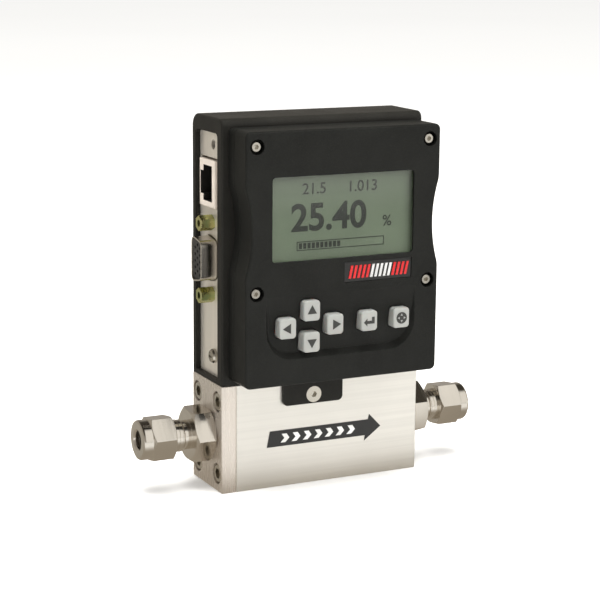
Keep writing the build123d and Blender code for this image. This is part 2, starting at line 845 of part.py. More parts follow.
tube_foot = block_height + sensor_base_height - sensor_tube_grip
tube_crest = block_height + sensor_base_height + sensor_tube_rise
tube_left = sensor_x - sensor_tap_spacing / 2
tube_right = sensor_x + sensor_tap_spacing / 2
with BuildPart() as sensor_tube:
    with BuildLine(Plane.XZ):
        FilletPolyline((tube_left, tube_foot), (tube_left, tube_crest), (tube_right, tube_crest),
                       (tube_right, tube_foot), radius=sensor_tube_bend)
    with BuildSketch(Plane(origin=(tube_left, 0, tube_foot))):
        Circle(sensor_tube_diameter / 2)
        Circle(sensor_tube_diameter / 2 - sensor_tube_wall, mode=Mode.SUBTRACT)
    sweep()
write(sensor_tube.part, "sensor_tube")

with BuildPart() as sensor_windings:
    for side in (-1, 1):
        middle = sensor_x + side * sensor_winding_spacing / 2
        inner = sensor_tube_diameter / 2 + ferrule_clearance
        start = Plane(origin=(middle - sensor_winding_length / 2, 0, tube_crest),
                      x_dir=(0, 1, 0), z_dir=(1, 0, 0))
        turn(start, [(inner, 0), (inner + sensor_winding_wall, 0),
                     (inner + sensor_winding_wall, sensor_winding_length),
                     (inner, sensor_winding_length)])
write(sensor_windings.part, "sensor_windings")

with BuildPart() as sensor_cover:
    cover_foot = sensor_axis.offset(sensor_base_height)
    block(cover_foot, (0, 0), (sensor_room + 2 * sensor_cover_wall, sensor_cover_depth),
          sensor_cover_height)
    fillet(sensor_cover.edges().filter_by(Axis.Z), sensor_cover_corner)
    fillet(sensor_cover.edges().group_by(Axis.Z)[-1], sensor_cover_edge)
    block(cover_foot, (0, 0), (sensor_room, sensor_cover_depth - 2 * sensor_cover_wall),
          sensor_cover_height - sensor_cover_wall, Mode.SUBTRACT)
write(sensor_cover.part, "sensor_cover")

with BuildPart() as sensor_screws:
    for side in (-1, 1):
        seat = Plane(origin=(sensor_x + side * sensor_screw_spacing / 2, 0,
                             block_height + sensor_base_height))
        socket_screw(seat, sensor_screw_head_diameter, sensor_screw_head_height,
                     sensor_screw_socket, sensor_screw_diameter - thread_clearance,
                     sensor_screw_length)
write(sensor_screws.part, "sensor_screws")

# Valve: orifice plug, plunger, flat spring, core tube, coil, yoke and nut
well_floor = valve_axis.offset(-valve_well_depth)
with BuildPart() as valve_orifice:
    seat_top = orifice_head_height + orifice_seat_height
    turn(well_floor, [(orifice_diameter / 2, -orifice_plug_length),
                      ((orifice_plug_diameter - thread_clearance) / 2, -orifice_plug_length),
                      ((orifice_plug_diameter - thread_clearance) / 2, 0),
                      (orifice_head_diameter / 2, 0),
                      (orifice_head_diameter / 2, orifice_head_height),
                      (orifice_seat_foot, orifice_head_height), (orifice_seat_rim, seat_top),
                      (orifice_diameter / 2, seat_top)])
write(valve_orifice.part, "valve_orifice")

plunger_foot = well_floor.offset(seat_top + plunger_seat_gap)
with BuildPart() as valve_plunger:
    radius = plunger_diameter / 2
    foot_radius = radius - plunger_foot_step
    turn(plunger_foot, [(0, 0), (foot_radius, 0), (foot_radius, plunger_foot_height),
                        (radius, plunger_foot_height + plunger_foot_cone),
                        (radius, plunger_length - plunger_chamfer),
                        (radius - plunger_chamfer, plunger_length), (0, plunger_length)])
write(valve_plunger.part, "valve_plunger")

spring_floor = valve_axis.offset(-valve_cavity_depth)
plunger_room = plunger_diameter / 2 + plunger_side_gap
with BuildPart() as valve_spring:
    with BuildSketch(spring_floor) as washer:
        Circle(valve_cavity_diameter / 2 - ferrule_clearance * 2)
        Circle(plunger_room, mode=Mode.SUBTRACT)
        slot_radius = ((valve_cavity_diameter / 2 + plunger_room) / 2
                       - valve_spring_slot_inset)
        with PolarLocations(0, valve_spring_slots):
            arc = CenterArc((0, 0), slot_radius, 0, valve_spring_slot_angle,
                            mode=Mode.PRIVATE)
            SlotArc(arc, valve_spring_slot_width, mode=Mode.SUBTRACT)
    extrude(washer.sketch, amount=valve_spring_thickness)
write(valve_spring.part, "valve_spring")

flange_foot = valve_cavity_depth - valve_spring_thickness
plunger_top = -valve_well_depth + seat_top + plunger_seat_gap + plunger_length
core_face = plunger_top + plunger_travel + plunger_top_gap
core_radius = plunger_room + core_tube_wall
with BuildPart() as valve_core_tube:
    flange_radius = valve_cavity_diameter / 2 - ferrule_clearance
    core_groove = flange_radius - core_seal_section
    groove_half = core_seal_section / 2 + core_groove_clearance
    groove_foot = -core_flange_length / 2 - groove_half
    groove_top = -core_flange_length / 2 + groove_half
    turn(valve_axis, [(0, -flange_foot), (flange_radius, -flange_foot),
                      (flange_radius, groove_foot), (core_groove, groove_foot),
                      (core_groove, groove_top), (flange_radius, groove_top),
                      (flange_radius, 0), (core_radius, 0), (core_radius, core_top),
                      (stud_diameter / 2, core_top), (stud_diameter / 2, core_top + stud_length),
                      (0, core_top + stud_length)])
    turn(valve_axis, [(0, -flange_foot - cut_past), (plunger_room, -flange_foot - cut_past),
                      (plunger_room, core_face), (0, core_face)], Mode.SUBTRACT)
write(valve_core_tube.part, "valve_core_tube")

with BuildPart() as valve_core_seal:
    ring(valve_axis.offset(-core_flange_length / 2), core_seal_section - ferrule_clearance,
         2 * flange_radius - ferrule_clearance)
write(valve_core_seal.part, "valve_core_seal")

with BuildPart() as valve_yoke:
    strap = Plane(origin=(valve_x - yoke_width / 2, 0, block_height), x_dir=(0, 1, 0),
                  z_dir=(1, 0, 0))
    with BuildSketch(strap) as channel:
        with BuildLine():
            Polyline((-yoke_front, 0), (yoke_back, 0), (yoke_back, core_top + yoke_strap),
                     (-yoke_front, core_top + yoke_strap), (-yoke_front, core_top),
                     (yoke_back - yoke_strap, core_top), (yoke_back - yoke_strap, yoke_plate),
                     (-yoke_front, yoke_plate), close=True)
        make_face()
    extrude(channel.sketch, amount=yoke_width)
    outer_bends = valve_yoke.edges().filter_by(Axis.X).group_by(Axis.Y)[-1]
    fillet(outer_bends, yoke_strap)
    with Locations(valve_axis.offset(yoke_plate)):
        Hole(core_radius + ferrule_clearance, yoke_plate)
    with Locations(valve_axis.offset(core_top + yoke_strap)):
        Hole((stud_diameter + thread_clearance) / 2, yoke_strap)
    for side in (-1, 1):
        face = Plane(origin=(valve_x + side * valve_screw_x, side * valve_screw_y,
                             block_height + yoke_plate))
        flat_screw_hole(face, valve_screw_head_diameter + thread_clearance,
                        valve_screw_diameter + thread_clearance, yoke_plate + cut_past)
write(valve_yoke.part, "valve_yoke")

with BuildPart() as valve_screws:
    for side in (-1, 1):
        face = Plane(origin=(valve_x + side * valve_screw_x, side * valve_screw_y,
                             block_height + yoke_plate))
        flat_screw(face, valve_screw_head_diameter, valve_screw_diameter - thread_clearance,
                   valve_screw_length, valve_screw_socket)
write(valve_screws.part, "valve_screws")

coil_foot = valve_axis.offset(yoke_plate)
spool_bore = core_radius + ferrule_clearance * 2
spool_wall = spool_bore + bobbin_wall
with BuildPart() as valve_bobbin:
    turn(coil_foot, [(spool_bore, 0), (coil_diameter / 2, 0), (coil_diameter / 2, bobbin_flange),
                     (spool_wall, bobbin_flange), (spool_wall, coil_height - bobbin_flange),
                     (coil_diameter / 2, coil_height - bobbin_flange),
                     (coil_diameter / 2, coil_height), (spool_bore, coil_height)])
write(valve_bobbin.part, "valve_bobbin")

with BuildPart() as valve_winding:
    inner = spool_wall + ferrule_clearance
    turn(coil_foot, [(inner, bobbin_flange), (winding_diameter / 2, bobbin_flange),
                     (winding_diameter / 2, coil_height - bobbin_flange),
                     (inner, coil_height - bobbin_flange)])
write(valve_winding.part, "valve_winding")

with BuildPart() as valve_nut:
    nut_seat = valve_axis.offset(core_top + yoke_strap)
    prism(nut_seat, valve_nut_size, valve_nut_height)
    turn(nut_seat, hexagon_limits(valve_nut_size, 0, valve_nut_height), Mode.INTERSECT)
    with Locations(nut_seat.offset(valve_nut_height)):
        Hole((stud_diameter + thread_clearance) / 2)
write(valve_nut.part, "valve_nut")

# Housing cover: one channel with thick walls, end sills, screw tabs and a board guide
header_slot = (header_width + 2 * hole_clearance, header_height + 2 * hole_clearance)
module_screw_height = module_screw_high - module_screw_low
module_screw_middle = (module_screw_high + module_screw_low) / 2
board_right = end_plate_right - end_plate_thickness - board_end_gap
guide_left = board_right - board_guide_depth
guide_right = board_right + board_guide_clearance + board_guide_wall
guide_back = board_face_y + board_guide_clearance + board_guide_rib
with BuildPart() as housing_cover:
    with BuildSketch(end_plane(left, 1)) as wall:
        with BuildLine():
            Polyline((front, block_height), (front, overall_height), (back, overall_height),
                     (back, block_height), (cavity_back, block_height), (cavity_back, cavity_top),
                     (cavity_front, cavity_top), (cavity_front, block_height), close=True)
        make_face()
        crown = wall.vertices().group_by(Axis.Y)[-1].sort_by(Axis.X)
        fillet(crown[0], cover_front_radius)
        fillet(wall.vertices().group_by(Axis.Y)[-1].sort_by(Axis.X)[-1], cover_rear_radius)
        inner = wall.vertices().filter_by(lambda v: abs(v.Y - cavity_top) < near)
        fillet(inner, cover_inner_radius)
    extrude(wall.sketch, amount=block_length)
    ends = housing_cover.faces().filter_by(Axis.X)
    rims = [edge for face in ends for edge in face.edges()
            if edge.center().Y < front + cover_rear_wall / 2
            or edge.center().Y > back - cover_rear_wall / 2
            or edge.center().Z > overall_height - cover_top_wall / 2]
    fillet(rims, cover_end_radius)
    for side in (-1, 1):
        middle = side * (right - end_recess / 2)
        block(block_top, (middle, cavity_middle), (end_recess, cavity_depth), sill_height)
    block(xz_plane(cavity_front), ((guide_left + guide_right) / 2, (board_bottom + cavity_top) / 2),
          (guide_right - guide_left, cavity_top - board_bottom), cavity_front - guide_back)
    block(xz_plane(board_face_y + board_guide_clearance),
          ((guide_left + board_right + board_guide_clearance) / 2,
           (board_bottom + cavity_top) / 2),
          (board_guide_depth + board_guide_clearance, cavity_top - board_bottom),
          board_thickness + 2 * board_guide_clearance, Mode.SUBTRACT)
    for side in (-1, 1):
        outer = side * back
        face = Plane(origin=(0, outer, 0), x_dir=(1, 0, 0), z_dir=(0, side, 0))
        up = -side
        with BuildSketch(face) as tab:
            with Locations((tab_x, up * (tab_bottom + tab_top) / 2)):
                RectangleRounded(tab_width, tab_top - tab_bottom, tab_corner)
        extrude(tab.sketch, amount=tab_thickness)
        tab_face = Plane(origin=(tab_screw_x, side * (back + tab_thickness), tab_screw_z),
                         x_dir=(1, 0, 0), z_dir=(0, side, 0))
        flat_screw_hole(tab_face, tab_screw_head_diameter + thread_clearance,
                        tab_screw_diameter + thread_clearance,
                        tab_thickness + cone_clearance)
    block(xz_plane(cavity_front), (module_x, header_z), header_slot, cover_front_wall,
          Mode.SUBTRACT)
    with Locations(Plane(origin=(module_x, cavity_front, module_screw_middle),
                         x_dir=(1, 0, 0), z_dir=(0, 1, 0))):
        with GridLocations(module_screw_spacing, module_screw_height, 2, 2):
            Hole((module_screw_diameter + hole_clearance) / 2, cover_front_wall)
write(housing_cover.part, "housing_cover")

with BuildPart() as cover_screws:
    for side in (-1, 1):
        face = Plane(origin=(tab_screw_x, side * (back + tab_thickness), tab_screw_z),
                     x_dir=(1, 0, 0), z_dir=(0, side, 0))
        flat_screw(face, tab_screw_head_diameter - thread_clearance,
                   tab_screw_diameter - thread_clearance, tab_screw_length,
                   tab_screw_socket)
write(cover_screws.part, "cover_screws")


# End plates in the housing's two openings
def d_outline(plane, margin=0.0):
    """The data connector's D-shaped outline, its long side towards the back."""
    near = data_y - data_shell_width / 2
    far = data_y + data_shell_width / 2
    half = data_shell_length / 2
    drop = data_shell_width * data_shell_slope
    with BuildSketch(plane) as outline:
        with BuildLine():
            Polyline((near, data_z - half + drop), (far, data_z - half), (far, data_z + half),
                     (near, data_z + half - drop), close=True)
        make_face()
        fillet(outline.vertices(), data_shell_corner)
        if margin:
            offset(amount=margin)
    return outline.sketch


plate_width = cavity_depth - 2 * end_plate_clearance
plate_height = cavity_top - end_plate_clearance - block_height
plate_middle_z = block_height + plate_height / 2
jack_y = board_face_y + jack_width / 2


def build_end_plate(inner_face):
    """A plate that fills the housing's opening and stands on the block."""
    with BuildSketch(inner_face) as plate:
        with Locations((cavity_middle, plate_middle_z)):
            Rectangle(plate_width, plate_height)
        fillet(plate.vertices().group_by(Axis.Y)[-1], cover_inner_radius)
    extrude(plate.sketch, amount=end_plate_thickness)
    with Locations(Location((inner_face.origin.X, plate_screw_y, plate_screw_z), (0, 90, 0))):
        Hole((plate_screw_diameter + hole_clearance) / 2)


with BuildPart() as connector_plate:
    plate_face = end_plane(end_plate_left, 1)
    build_end_plate(plate_face)
    jack_opening_height = jack_height + jack_opening_gap + jack_opening_top_gap
    jack_opening_z = jack_z + (jack_opening_top_gap - jack_opening_gap) / 2
    block(plate_face, (jack_y, jack_opening_z),
          (jack_width + 2 * jack_opening_gap, jack_opening_height), end_plate_thickness,
          Mode.SUBTRACT)
    extrude(d_outline(plate_face, data_opening_gap), amount=end_plate_thickness,
            mode=Mode.SUBTRACT)
    with Locations(Location((end_plate_left, data_y, data_z), (0, 90, 0))):
        with GridLocations(jackscrew_spacing, 0, 2, 1):
            Hole((jackscrew_stud_diameter + hole_clearance) / 2)
    with Locations(Location((end_plate_left, lamp_hole_y, lamp_hole_z), (0, 90, 0))):
        Hole(lamp_hole_diameter / 2)
write(connector_plate.part, "connector_plate")

with BuildPart() as blind_plate:
    build_end_plate(end_plane(end_plate_right - end_plate_thickness, 1))
write(blind_plate.part, "blind_plate")

# Angle brackets behind the end plates, screwed to the block
with BuildPart() as end_brackets:
    for side in (-1, 1):
        upright = side * (end_plate_right - end_plate_thickness)
        foot_middle = upright - side * bracket_foot / 2
        wall_middle = upright - side * bracket_thickness / 2
        block(block_top, (foot_middle, plate_screw_y), (bracket_foot, bracket_width),
              bracket_thickness)
        block(block_top, (wall_middle, plate_screw_y), (bracket_thickness, bracket_width),
              bracket_height)
        with Locations(Plane(origin=(side * bracket_screw_x, plate_screw_y,
                                     block_height + bracket_thickness))):
            Hole((plate_screw_diameter + hole_clearance) / 2, bracket_thickness)
        with Locations(Plane(origin=(upright, plate_screw_y, plate_screw_z),
                             x_dir=(0, 1, 0), z_dir=(side, 0, 0))):
            Hole(plate_screw_diameter / 2, bracket_thickness)
write(end_brackets.part, "end_brackets")

with BuildPart() as bracket_screws:
    for side in (-1, 1):
        seat = Plane(origin=(side * bracket_screw_x, plate_screw_y,
                             block_height + bracket_thickness))
        pan_screw(seat, bracket_screw_head_diameter, bracket_screw_head_height,
                  plate_screw_diameter - thread_clearance, bracket_screw_length)
write(bracket_screws.part, "bracket_screws")

with BuildPart() as plate_screws:
    for side in (-1, 1):
        seat = Plane(origin=(side * end_plate_right, plate_screw_y, plate_screw_z),
                     x_dir=(0, 1, 0), z_dir=(side, 0, 0))
        pan_screw(seat, plate_screw_head_diameter, plate_screw_head_height,
                  plate_screw_diameter - thread_clearance, plate_screw_length)
write(plate_screws.part, "plate_screws")

# Main board, its network jack and its data connector
flange_face_x = end_plate_left + end_plate_thickness
board_left = flange_face_x + data_flange_thickness + board_connector_gap
with BuildPart() as main_board:
    block(xz_plane(board_face_y), ((board_left + board_right) / 2, (board_bottom + board_top) / 2),
          (board_right - board_left, board_top - board_bottom), board_thickness)
write(main_board.part, "main_board")

jack_face = end_plate_left - jack_projection
mouth_left = board_face_y + jack_mouth_offset
mouth_middle = mouth_left + jack_mouth_width / 2
latch_middle = mouth_left + jack_mouth_width + jack_latch_width / 2
with BuildPart() as network_jack:
    jack_plane = end_plane(jack_face, 1)
    block(jack_plane, (jack_y, jack_z), (jack_width, jack_height), jack_depth)
    fillet(network_jack.edges().group_by(Axis.X)[0], jack_edge_radius)
    block(jack_plane, (mouth_middle, jack_z), (jack_mouth_width, jack_mouth_height),
          jack_mouth_depth, Mode.SUBTRACT)
    block(jack_plane, (latch_middle, jack_z), (jack_latch_width, jack_latch_height),
          jack_mouth_depth, Mode.SUBTRACT)
write(network_jack.part, "network_jack")

with BuildPart() as jack_contacts:
    tip = jack_face + contact_setback
    for place in range(contact_count):
        height = jack_z + (place - (contact_count - 1) / 2) * contact_pitch
        with BuildSketch(Plane.XY.offset(height - contact_width / 2)) as wire:
            with BuildLine():
                Polyline((tip, mouth_left), (tip + 2 * contact_thickness, mouth_left),
                         (tip + contact_length, mouth_left + contact_rise - contact_thickness),
                         (tip + contact_length, mouth_left + contact_rise), close=True)
            make_face()
        extrude(wire.sketch, amount=contact_width)
write(jack_contacts.part, "jack_contacts")

shell_mouth = end_plate_left - data_shell_projection
with BuildPart() as data_connector_shell:
    block(end_plane(flange_face_x, 1), (data_y, data_z), (data_flange_width, data_flange_length),
          data_flange_thickness)
    mouth_plane = end_plane(shell_mouth, 1)
    extrude(d_outline(mouth_plane), amount=flange_face_x - shell_mouth)
    extrude(d_outline(mouth_plane, -data_shell_wall),
            amount=flange_face_x + data_flange_thickness - shell_mouth, mode=Mode.SUBTRACT)
    with Locations(Location((flange_face_x, data_y, data_z), (0, 90, 0))):
        with GridLocations(jackscrew_spacing, 0, 2, 1):
            Hole((jackscrew_stud_diameter + hole_clearance) / 2)
write(data_connector_shell.part, "data_connector_shell")

with BuildPart() as data_connector_insulator:
    insulator_face = shell_mouth + data_face_recess
    insulator_back = flange_face_x + data_flange_thickness
    extrude(d_outline(end_plane(insulator_face, 1), -data_shell_wall - ferrule_clearance),
            amount=insulator_back - insulator_face)
    block_back = data_y + data_shell_width / 2
    block(end_plane(insulator_back, 1), ((board_face_y + block_back) / 2, data_z),
          (block_back - board_face_y, data_block_height), data_block_length)
    with BuildSketch(end_plane(insulator_face, 1)) as sockets:
        for row in range(data_pin_rows):
            across = data_y + (row - (data_pin_rows - 1) / 2) * data_pin_pitch_y
            shift = data_pin_pitch_z / 4 * (1 if row % 2 else -1)
            for column in range(data_pin_columns):
                along = data_z + shift + (column - (data_pin_columns - 1) / 2) * data_pin_pitch_z
                with Locations((across, along)):
                    Circle(data_pin_diameter / 2)
    extrude(sockets.sketch, amount=data_pin_depth, mode=Mode.SUBTRACT)
write(data_connector_insulator.part, "data_connector_insulator")

with BuildPart() as jackscrews:
    for side in (-1, 1):
        seat = Plane(origin=(end_plate_left, data_y, data_z + side * jackscrew_spacing / 2),
                     x_dir=(0, 1, 0), z_dir=(-1, 0, 0))
        prism(seat, jackscrew_size, jackscrew_length, jackscrew_turn)
        turn(seat, [(0, 0), (jackscrew_stud_diameter / 2, 0),
                    (jackscrew_stud_diameter / 2, -jackscrew_stud_length),
                    (0, -jackscrew_stud_length)])
        with Locations(seat.offset(jackscrew_length)):
            Hole(jackscrew_bore / 2, jackscrew_bore_depth)
write(jackscrews.part, "jackscrews")

# Display module: both shells share one waisted outline
display_screw_places = [(module_x + side * display_screw_spacing_x / 2, z)
                        for side in (-1, 1) for z in (display_screw_low, display_screw_high)]
module_screw_places = [(module_x + side * module_screw_spacing / 2, z)
                       for side in (-1, 1) for z in (module_screw_low, module_screw_high)]
keys = {
    "key_left": (keypad_x - arrow_key_reach_x, keypad_z),
    "key_right": (keypad_x + arrow_key_reach_x, keypad_z),
    "key_up": (keypad_x, keypad_z + arrow_key_reach_z),
    "key_down": (keypad_x, keypad_z - arrow_key_reach_z),
    "key_enter": (enter_key_x, keypad_z),
    "key_menu": (menu_key_x, keypad_z),
}


def module_outline(plane, inset=0.0):
    """The module's outline, a rectangle waisted on both sides, drawn on a plane."""
    half = module_width / 2
    middle = (waist_bottom + waist_top) / 2
    with BuildSketch(plane) as outline:
        with BuildLine():
            for side in (-1, 1):
                edge = module_x + side * half
                Line((edge, module_bottom), (edge, waist_bottom))
                ThreePointArc((edge, waist_bottom), (edge - side * waist_depth, middle),
                              (edge, waist_top))
                Line((edge, waist_top), (edge, module_top))
            Line((module_x - half, module_bottom), (module_x + half, module_bottom))
            Line((module_x - half, module_top), (module_x + half, module_top))
        make_face()
        corners = outline.vertices().filter_by(
            lambda v: min(abs(v.Y - module_bottom), abs(v.Y - module_top)) < near)
        fillet(corners, module_corner)
        bends = outline.vertices().filter_by(
            lambda v: min(abs(v.Y - waist_bottom), abs(v.Y - waist_top)) < near)
        fillet(bends, waist_blend)
        if inset:
            offset(amount=-inset)
    return outline.sketch


# The dished keypad field: a tapered pocket with a floor that runs out at its top
with BuildPart() as scoop:
    with BuildSketch(xz_plane(module_front)) as field:
        with Locations(((scoop_left + scoop_right) / 2,
                        (scoop_bottom + scoop_top + scoop_runout) / 2)):
            Rectangle(scoop_right - scoop_left, scoop_height + scoop_runout)
        fillet(field.vertices().group_by(Axis.Y)[0], scoop_corner)
    extrude(field.sketch, amount=-scoop_depth, taper=scoop_wall_slope)
    with BuildSketch(end_plane(scoop_left, 1)) as wedge:
        with BuildLine():
            Polyline((module_front, scoop_top), (module_front, scoop_bottom),
                     (module_front + scoop_depth, scoop_bottom), close=True)
        make_face()
    extrude(wedge.sketch, amount=scoop_right - scoop_left, mode=Mode.INTERSECT)

with BuildPart() as display_bezel:
    extrude(module_outline(xz_plane(module_parting)), amount=module_parting - module_front)
    fillet(display_bezel.faces().sort_by(Axis.Y)[0].edges(), module_edge_radius)
    inner_front = module_front + bezel_front_wall
    extrude(module_outline(xz_plane(module_parting), module_wall),
            amount=module_parting - inner_front, mode=Mode.SUBTRACT)
    extrude(module_outline(xz_plane(module_parting), -cut_past) -
            module_outline(xz_plane(module_parting), parting_groove),
            amount=parting_groove, mode=Mode.SUBTRACT)
    block(xz_plane(pad_face), ((scoop_left + scoop_right) / 2, (scoop_bottom + scoop_top) / 2),
          (scoop_right - scoop_left + pad_margin, scoop_height + 2 * pad_margin),
          pad_face - inner_front)
    add(scoop.part, mode=Mode.SUBTRACT)
    for x, z in display_screw_places:
        post = Plane(origin=(x, inner_front, z), x_dir=(1, 0, 0), z_dir=(0, 1, 0))
        turn(post, [(0, 0), (post_diameter / 2, 0),
                    (post_diameter / 2, module_parting - inner_front),
                    (0, module_parting - inner_front)])
        with Locations(Plane(origin=(x, module_front, z), x_dir=(1, 0, 0), z_dir=(0, -1, 0))):
            CounterBoreHole((display_screw_diameter + hole_clearance) / 2,
                            display_screw_pocket / 2,
                            display_screw_sink + display_screw_head_height)
    with BuildSketch(xz_plane(module_front)) as opening:
        with Locations((window_x, window_z)):
            RectangleRounded(window_width, window_height, window_corner)
    extrude(opening.sketch, amount=-bezel_front_wall, mode=Mode.SUBTRACT)
    block(xz_plane(window_face), (window_x, window_z),
          (window_width + 2 * window_lap + 2 * window_clearance,
           window_height + 2 * window_lap + 2 * window_clearance),
          -(bezel_front_wall - window_rim), Mode.SUBTRACT)
    block(xz_plane(module_front), (badge_x, badge_z), (badge_width, badge_height),
          -badge_recess, Mode.SUBTRACT)
    with BuildSketch(xz_plane(module_front)) as key_holes:
        for x, z in keys.values():
            with Locations((x, z)):
                RectangleRounded(key_width + 2 * key_hole_clearance,
                                 key_height + 2 * key_hole_clearance,
                                 key_corner + key_hole_clearance)
    extrude(key_holes.sketch, amount=-pad_depth, mode=Mode.SUBTRACT)
write(display_bezel.part, "display_bezel")

with BuildPart() as display_back:
    extrude(module_outline(xz_plane(front)), amount=module_back_depth)
    floor_front = front - module_rear_wall
    extrude(module_outline(xz_plane(floor_front), module_wall),
            amount=module_back_depth - module_rear_wall, mode=Mode.SUBTRACT)
    for x, z in display_screw_places + module_screw_places:
        boss = Plane(origin=(x, floor_front, z), x_dir=(1, 0, 0), z_dir=(0, -1, 0))
        turn(boss, [(0, 0), (post_diameter / 2, 0),
                    (post_diameter / 2, module_back_depth - module_rear_wall),
                    (0, module_back_depth - module_rear_wall)])
    for x, z in module_screw_places:
        seat = Plane(origin=(x, module_parting, z), x_dir=(1, 0, 0), z_dir=(0, -1, 0))
        turn(seat, [(0, 0), (post_diameter / 3, 0), (post_diameter / 3, board_seat_height),
                    (0, board_seat_height)])
    for x, z in display_screw_places:
        with Locations(Plane(origin=(x, module_parting, z), x_dir=(1, 0, 0), z_dir=(0, -1, 0))):
            Hole(display_screw_diameter / 2, module_back_depth - display_screw_floor)
    for x, z in module_screw_places:
        with Locations(Plane(origin=(x, front, z), x_dir=(1, 0, 0), z_dir=(0, 1, 0))):
            Hole(module_screw_diameter / 2, module_screw_grip + hole_clearance)
    notch_top = tab_top + hole_clearance
    notch_bottom = module_bottom - cut_past
    block(xz_plane(front), (tab_x, (notch_top + notch_bottom) / 2),
          (tab_width + 2 * hole_clearance, notch_top - notch_bottom),
          tab_thickness + hole_clearance / 2, Mode.SUBTRACT)
    block(xz_plane(front), (module_x, header_z), header_slot, module_rear_wall, Mode.SUBTRACT)
write(display_back.part, "display_back")

with BuildPart() as display_screws:
    sink = display_screw_sink + display_screw_head_height
    for x, z in display_screw_places:
        seat = Plane(origin=(x, module_front + sink, z), x_dir=(1, 0, 0), z_dir=(0, -1, 0))
        socket_screw(seat, display_screw_head_diameter, display_screw_head_height,
                     display_screw_socket, display_screw_diameter - thread_clearance,
                     display_screw_length - display_screw_sink)
write(display_screws.part, "display_screws")

with BuildPart() as module_screws:
    for x, z in module_screw_places:
        seat = Plane(origin=(x, cavity_front, z), x_dir=(1, 0, 0), z_dir=(0, 1, 0))
        pan_screw(seat, module_screw_head_diameter, module_screw_head_height,
                  module_screw_diameter - thread_clearance, cover_front_wall + module_screw_grip)
write(module_screws.part, "module_screws")

with BuildPart() as display_window:
    with BuildSketch(xz_plane(window_face)) as pane:
        with Locations((window_x, window_z)):
            Rectangle(window_width + 2 * window_lap, window_height + 2 * window_lap)
        fillet(pane.vertices(), window_pane_corner)
    extrude(pane.sketch, amount=-window_thickness)
write(display_window.part, "display_window")

with BuildPart() as lcd_panel:
    block(xz_plane(display_board_front), (window_x, window_z),
          (window_width + 2 * panel_margin, window_height + 2 * panel_margin),
          display_board_front - panel_front)
    block(xz_plane(panel_front), (window_x, window_z),
          (window_width + 2 * panel_frame_lap, window_height + 2 * panel_frame_lap),
          -panel_frame_depth, Mode.SUBTRACT)
write(lcd_panel.part, "lcd_panel")

with BuildPart() as display_board:
    extrude(module_outline(xz_plane(display_board_back), module_wall + board_edge_gap),
            amount=display_board_thickness)
    with BuildSketch(xz_plane(display_board_back)) as notches:
        with Locations(*display_screw_places):
            Circle(post_diameter / 2 + board_edge_gap)
    extrude(notches.sketch, amount=display_board_thickness, mode=Mode.SUBTRACT)
write(display_board.part, "display_board")

with BuildPart() as display_header:
    block(xz_plane(board_face_y - board_thickness), (module_x, header_z),
          (header_width, header_height),
          board_face_y - board_thickness - display_board_back)
write(display_header.part, "display_header")

with BuildPart() as badge_plate:
    block(xz_plane(module_front + badge_recess), (badge_x, badge_z),
          (badge_width - 2 * window_clearance, badge_height - 2 * window_clearance),
          badge_thickness)
write(badge_plate.part, "badge_plate")

# Keys and the elastic mat behind them
with BuildPart() as keypad_mat:
    block(xz_plane(display_board_front), ((scoop_left + scoop_right) / 2,
                                          (scoop_bottom + scoop_top) / 2),
          (scoop_right - scoop_left - 2 * mat_margin_x, scoop_height + 2 * mat_margin_z),
          display_board_front - mat_front)
write(keypad_mat.part, "keypad_mat")

for name, (x, z) in keys.items():
    with BuildPart() as key:
        with BuildSketch(xz_plane(key_flange_front)) as cap:
            with Locations((x, z)):
                RectangleRounded(key_width, key_height, key_corner)
        extrude(cap.sketch, amount=key_flange_front - key_face)
        fillet(key.faces().sort_by(Axis.Y)[0].edges(), key_edge_radius)
        block(xz_plane(key_flange_front), (x, z),
              (key_width + 2 * key_flange_lap, key_height + 2 * key_flange_lap),
              -key_flange_thickness)
    write(key.part, name)
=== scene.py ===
import json
import math

import bmesh
import bpy
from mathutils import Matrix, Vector


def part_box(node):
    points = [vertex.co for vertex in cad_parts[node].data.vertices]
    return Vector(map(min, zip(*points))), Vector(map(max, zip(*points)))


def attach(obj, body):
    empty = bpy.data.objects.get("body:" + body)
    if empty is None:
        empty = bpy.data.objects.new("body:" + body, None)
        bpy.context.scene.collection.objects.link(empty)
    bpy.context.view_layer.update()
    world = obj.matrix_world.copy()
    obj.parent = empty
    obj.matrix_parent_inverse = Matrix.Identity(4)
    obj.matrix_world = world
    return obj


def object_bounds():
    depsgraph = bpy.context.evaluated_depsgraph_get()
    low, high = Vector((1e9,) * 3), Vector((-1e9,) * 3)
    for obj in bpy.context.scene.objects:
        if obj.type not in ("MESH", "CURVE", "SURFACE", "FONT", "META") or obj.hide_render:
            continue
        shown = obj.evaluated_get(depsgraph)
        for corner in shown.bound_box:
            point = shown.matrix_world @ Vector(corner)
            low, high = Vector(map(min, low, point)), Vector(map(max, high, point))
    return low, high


bl_info = {
    "name": "Flow controller looks",
    "version": (1, 0, 0),
    "blender": (4, 5, 0),
    "location": "3D View > Sidebar > Flow controller",
    "description": "Finishes, printed marks and threads for a gas mass flow controller, with "
                   "its stage",
    "category": "Object",
}

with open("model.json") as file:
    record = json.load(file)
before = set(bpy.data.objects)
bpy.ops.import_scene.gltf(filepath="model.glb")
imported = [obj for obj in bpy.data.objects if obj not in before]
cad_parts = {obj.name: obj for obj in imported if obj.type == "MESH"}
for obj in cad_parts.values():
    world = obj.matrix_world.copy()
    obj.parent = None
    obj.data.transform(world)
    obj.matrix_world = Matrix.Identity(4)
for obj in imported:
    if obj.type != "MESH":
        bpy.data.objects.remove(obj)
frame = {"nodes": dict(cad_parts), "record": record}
cad_low, cad_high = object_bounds()

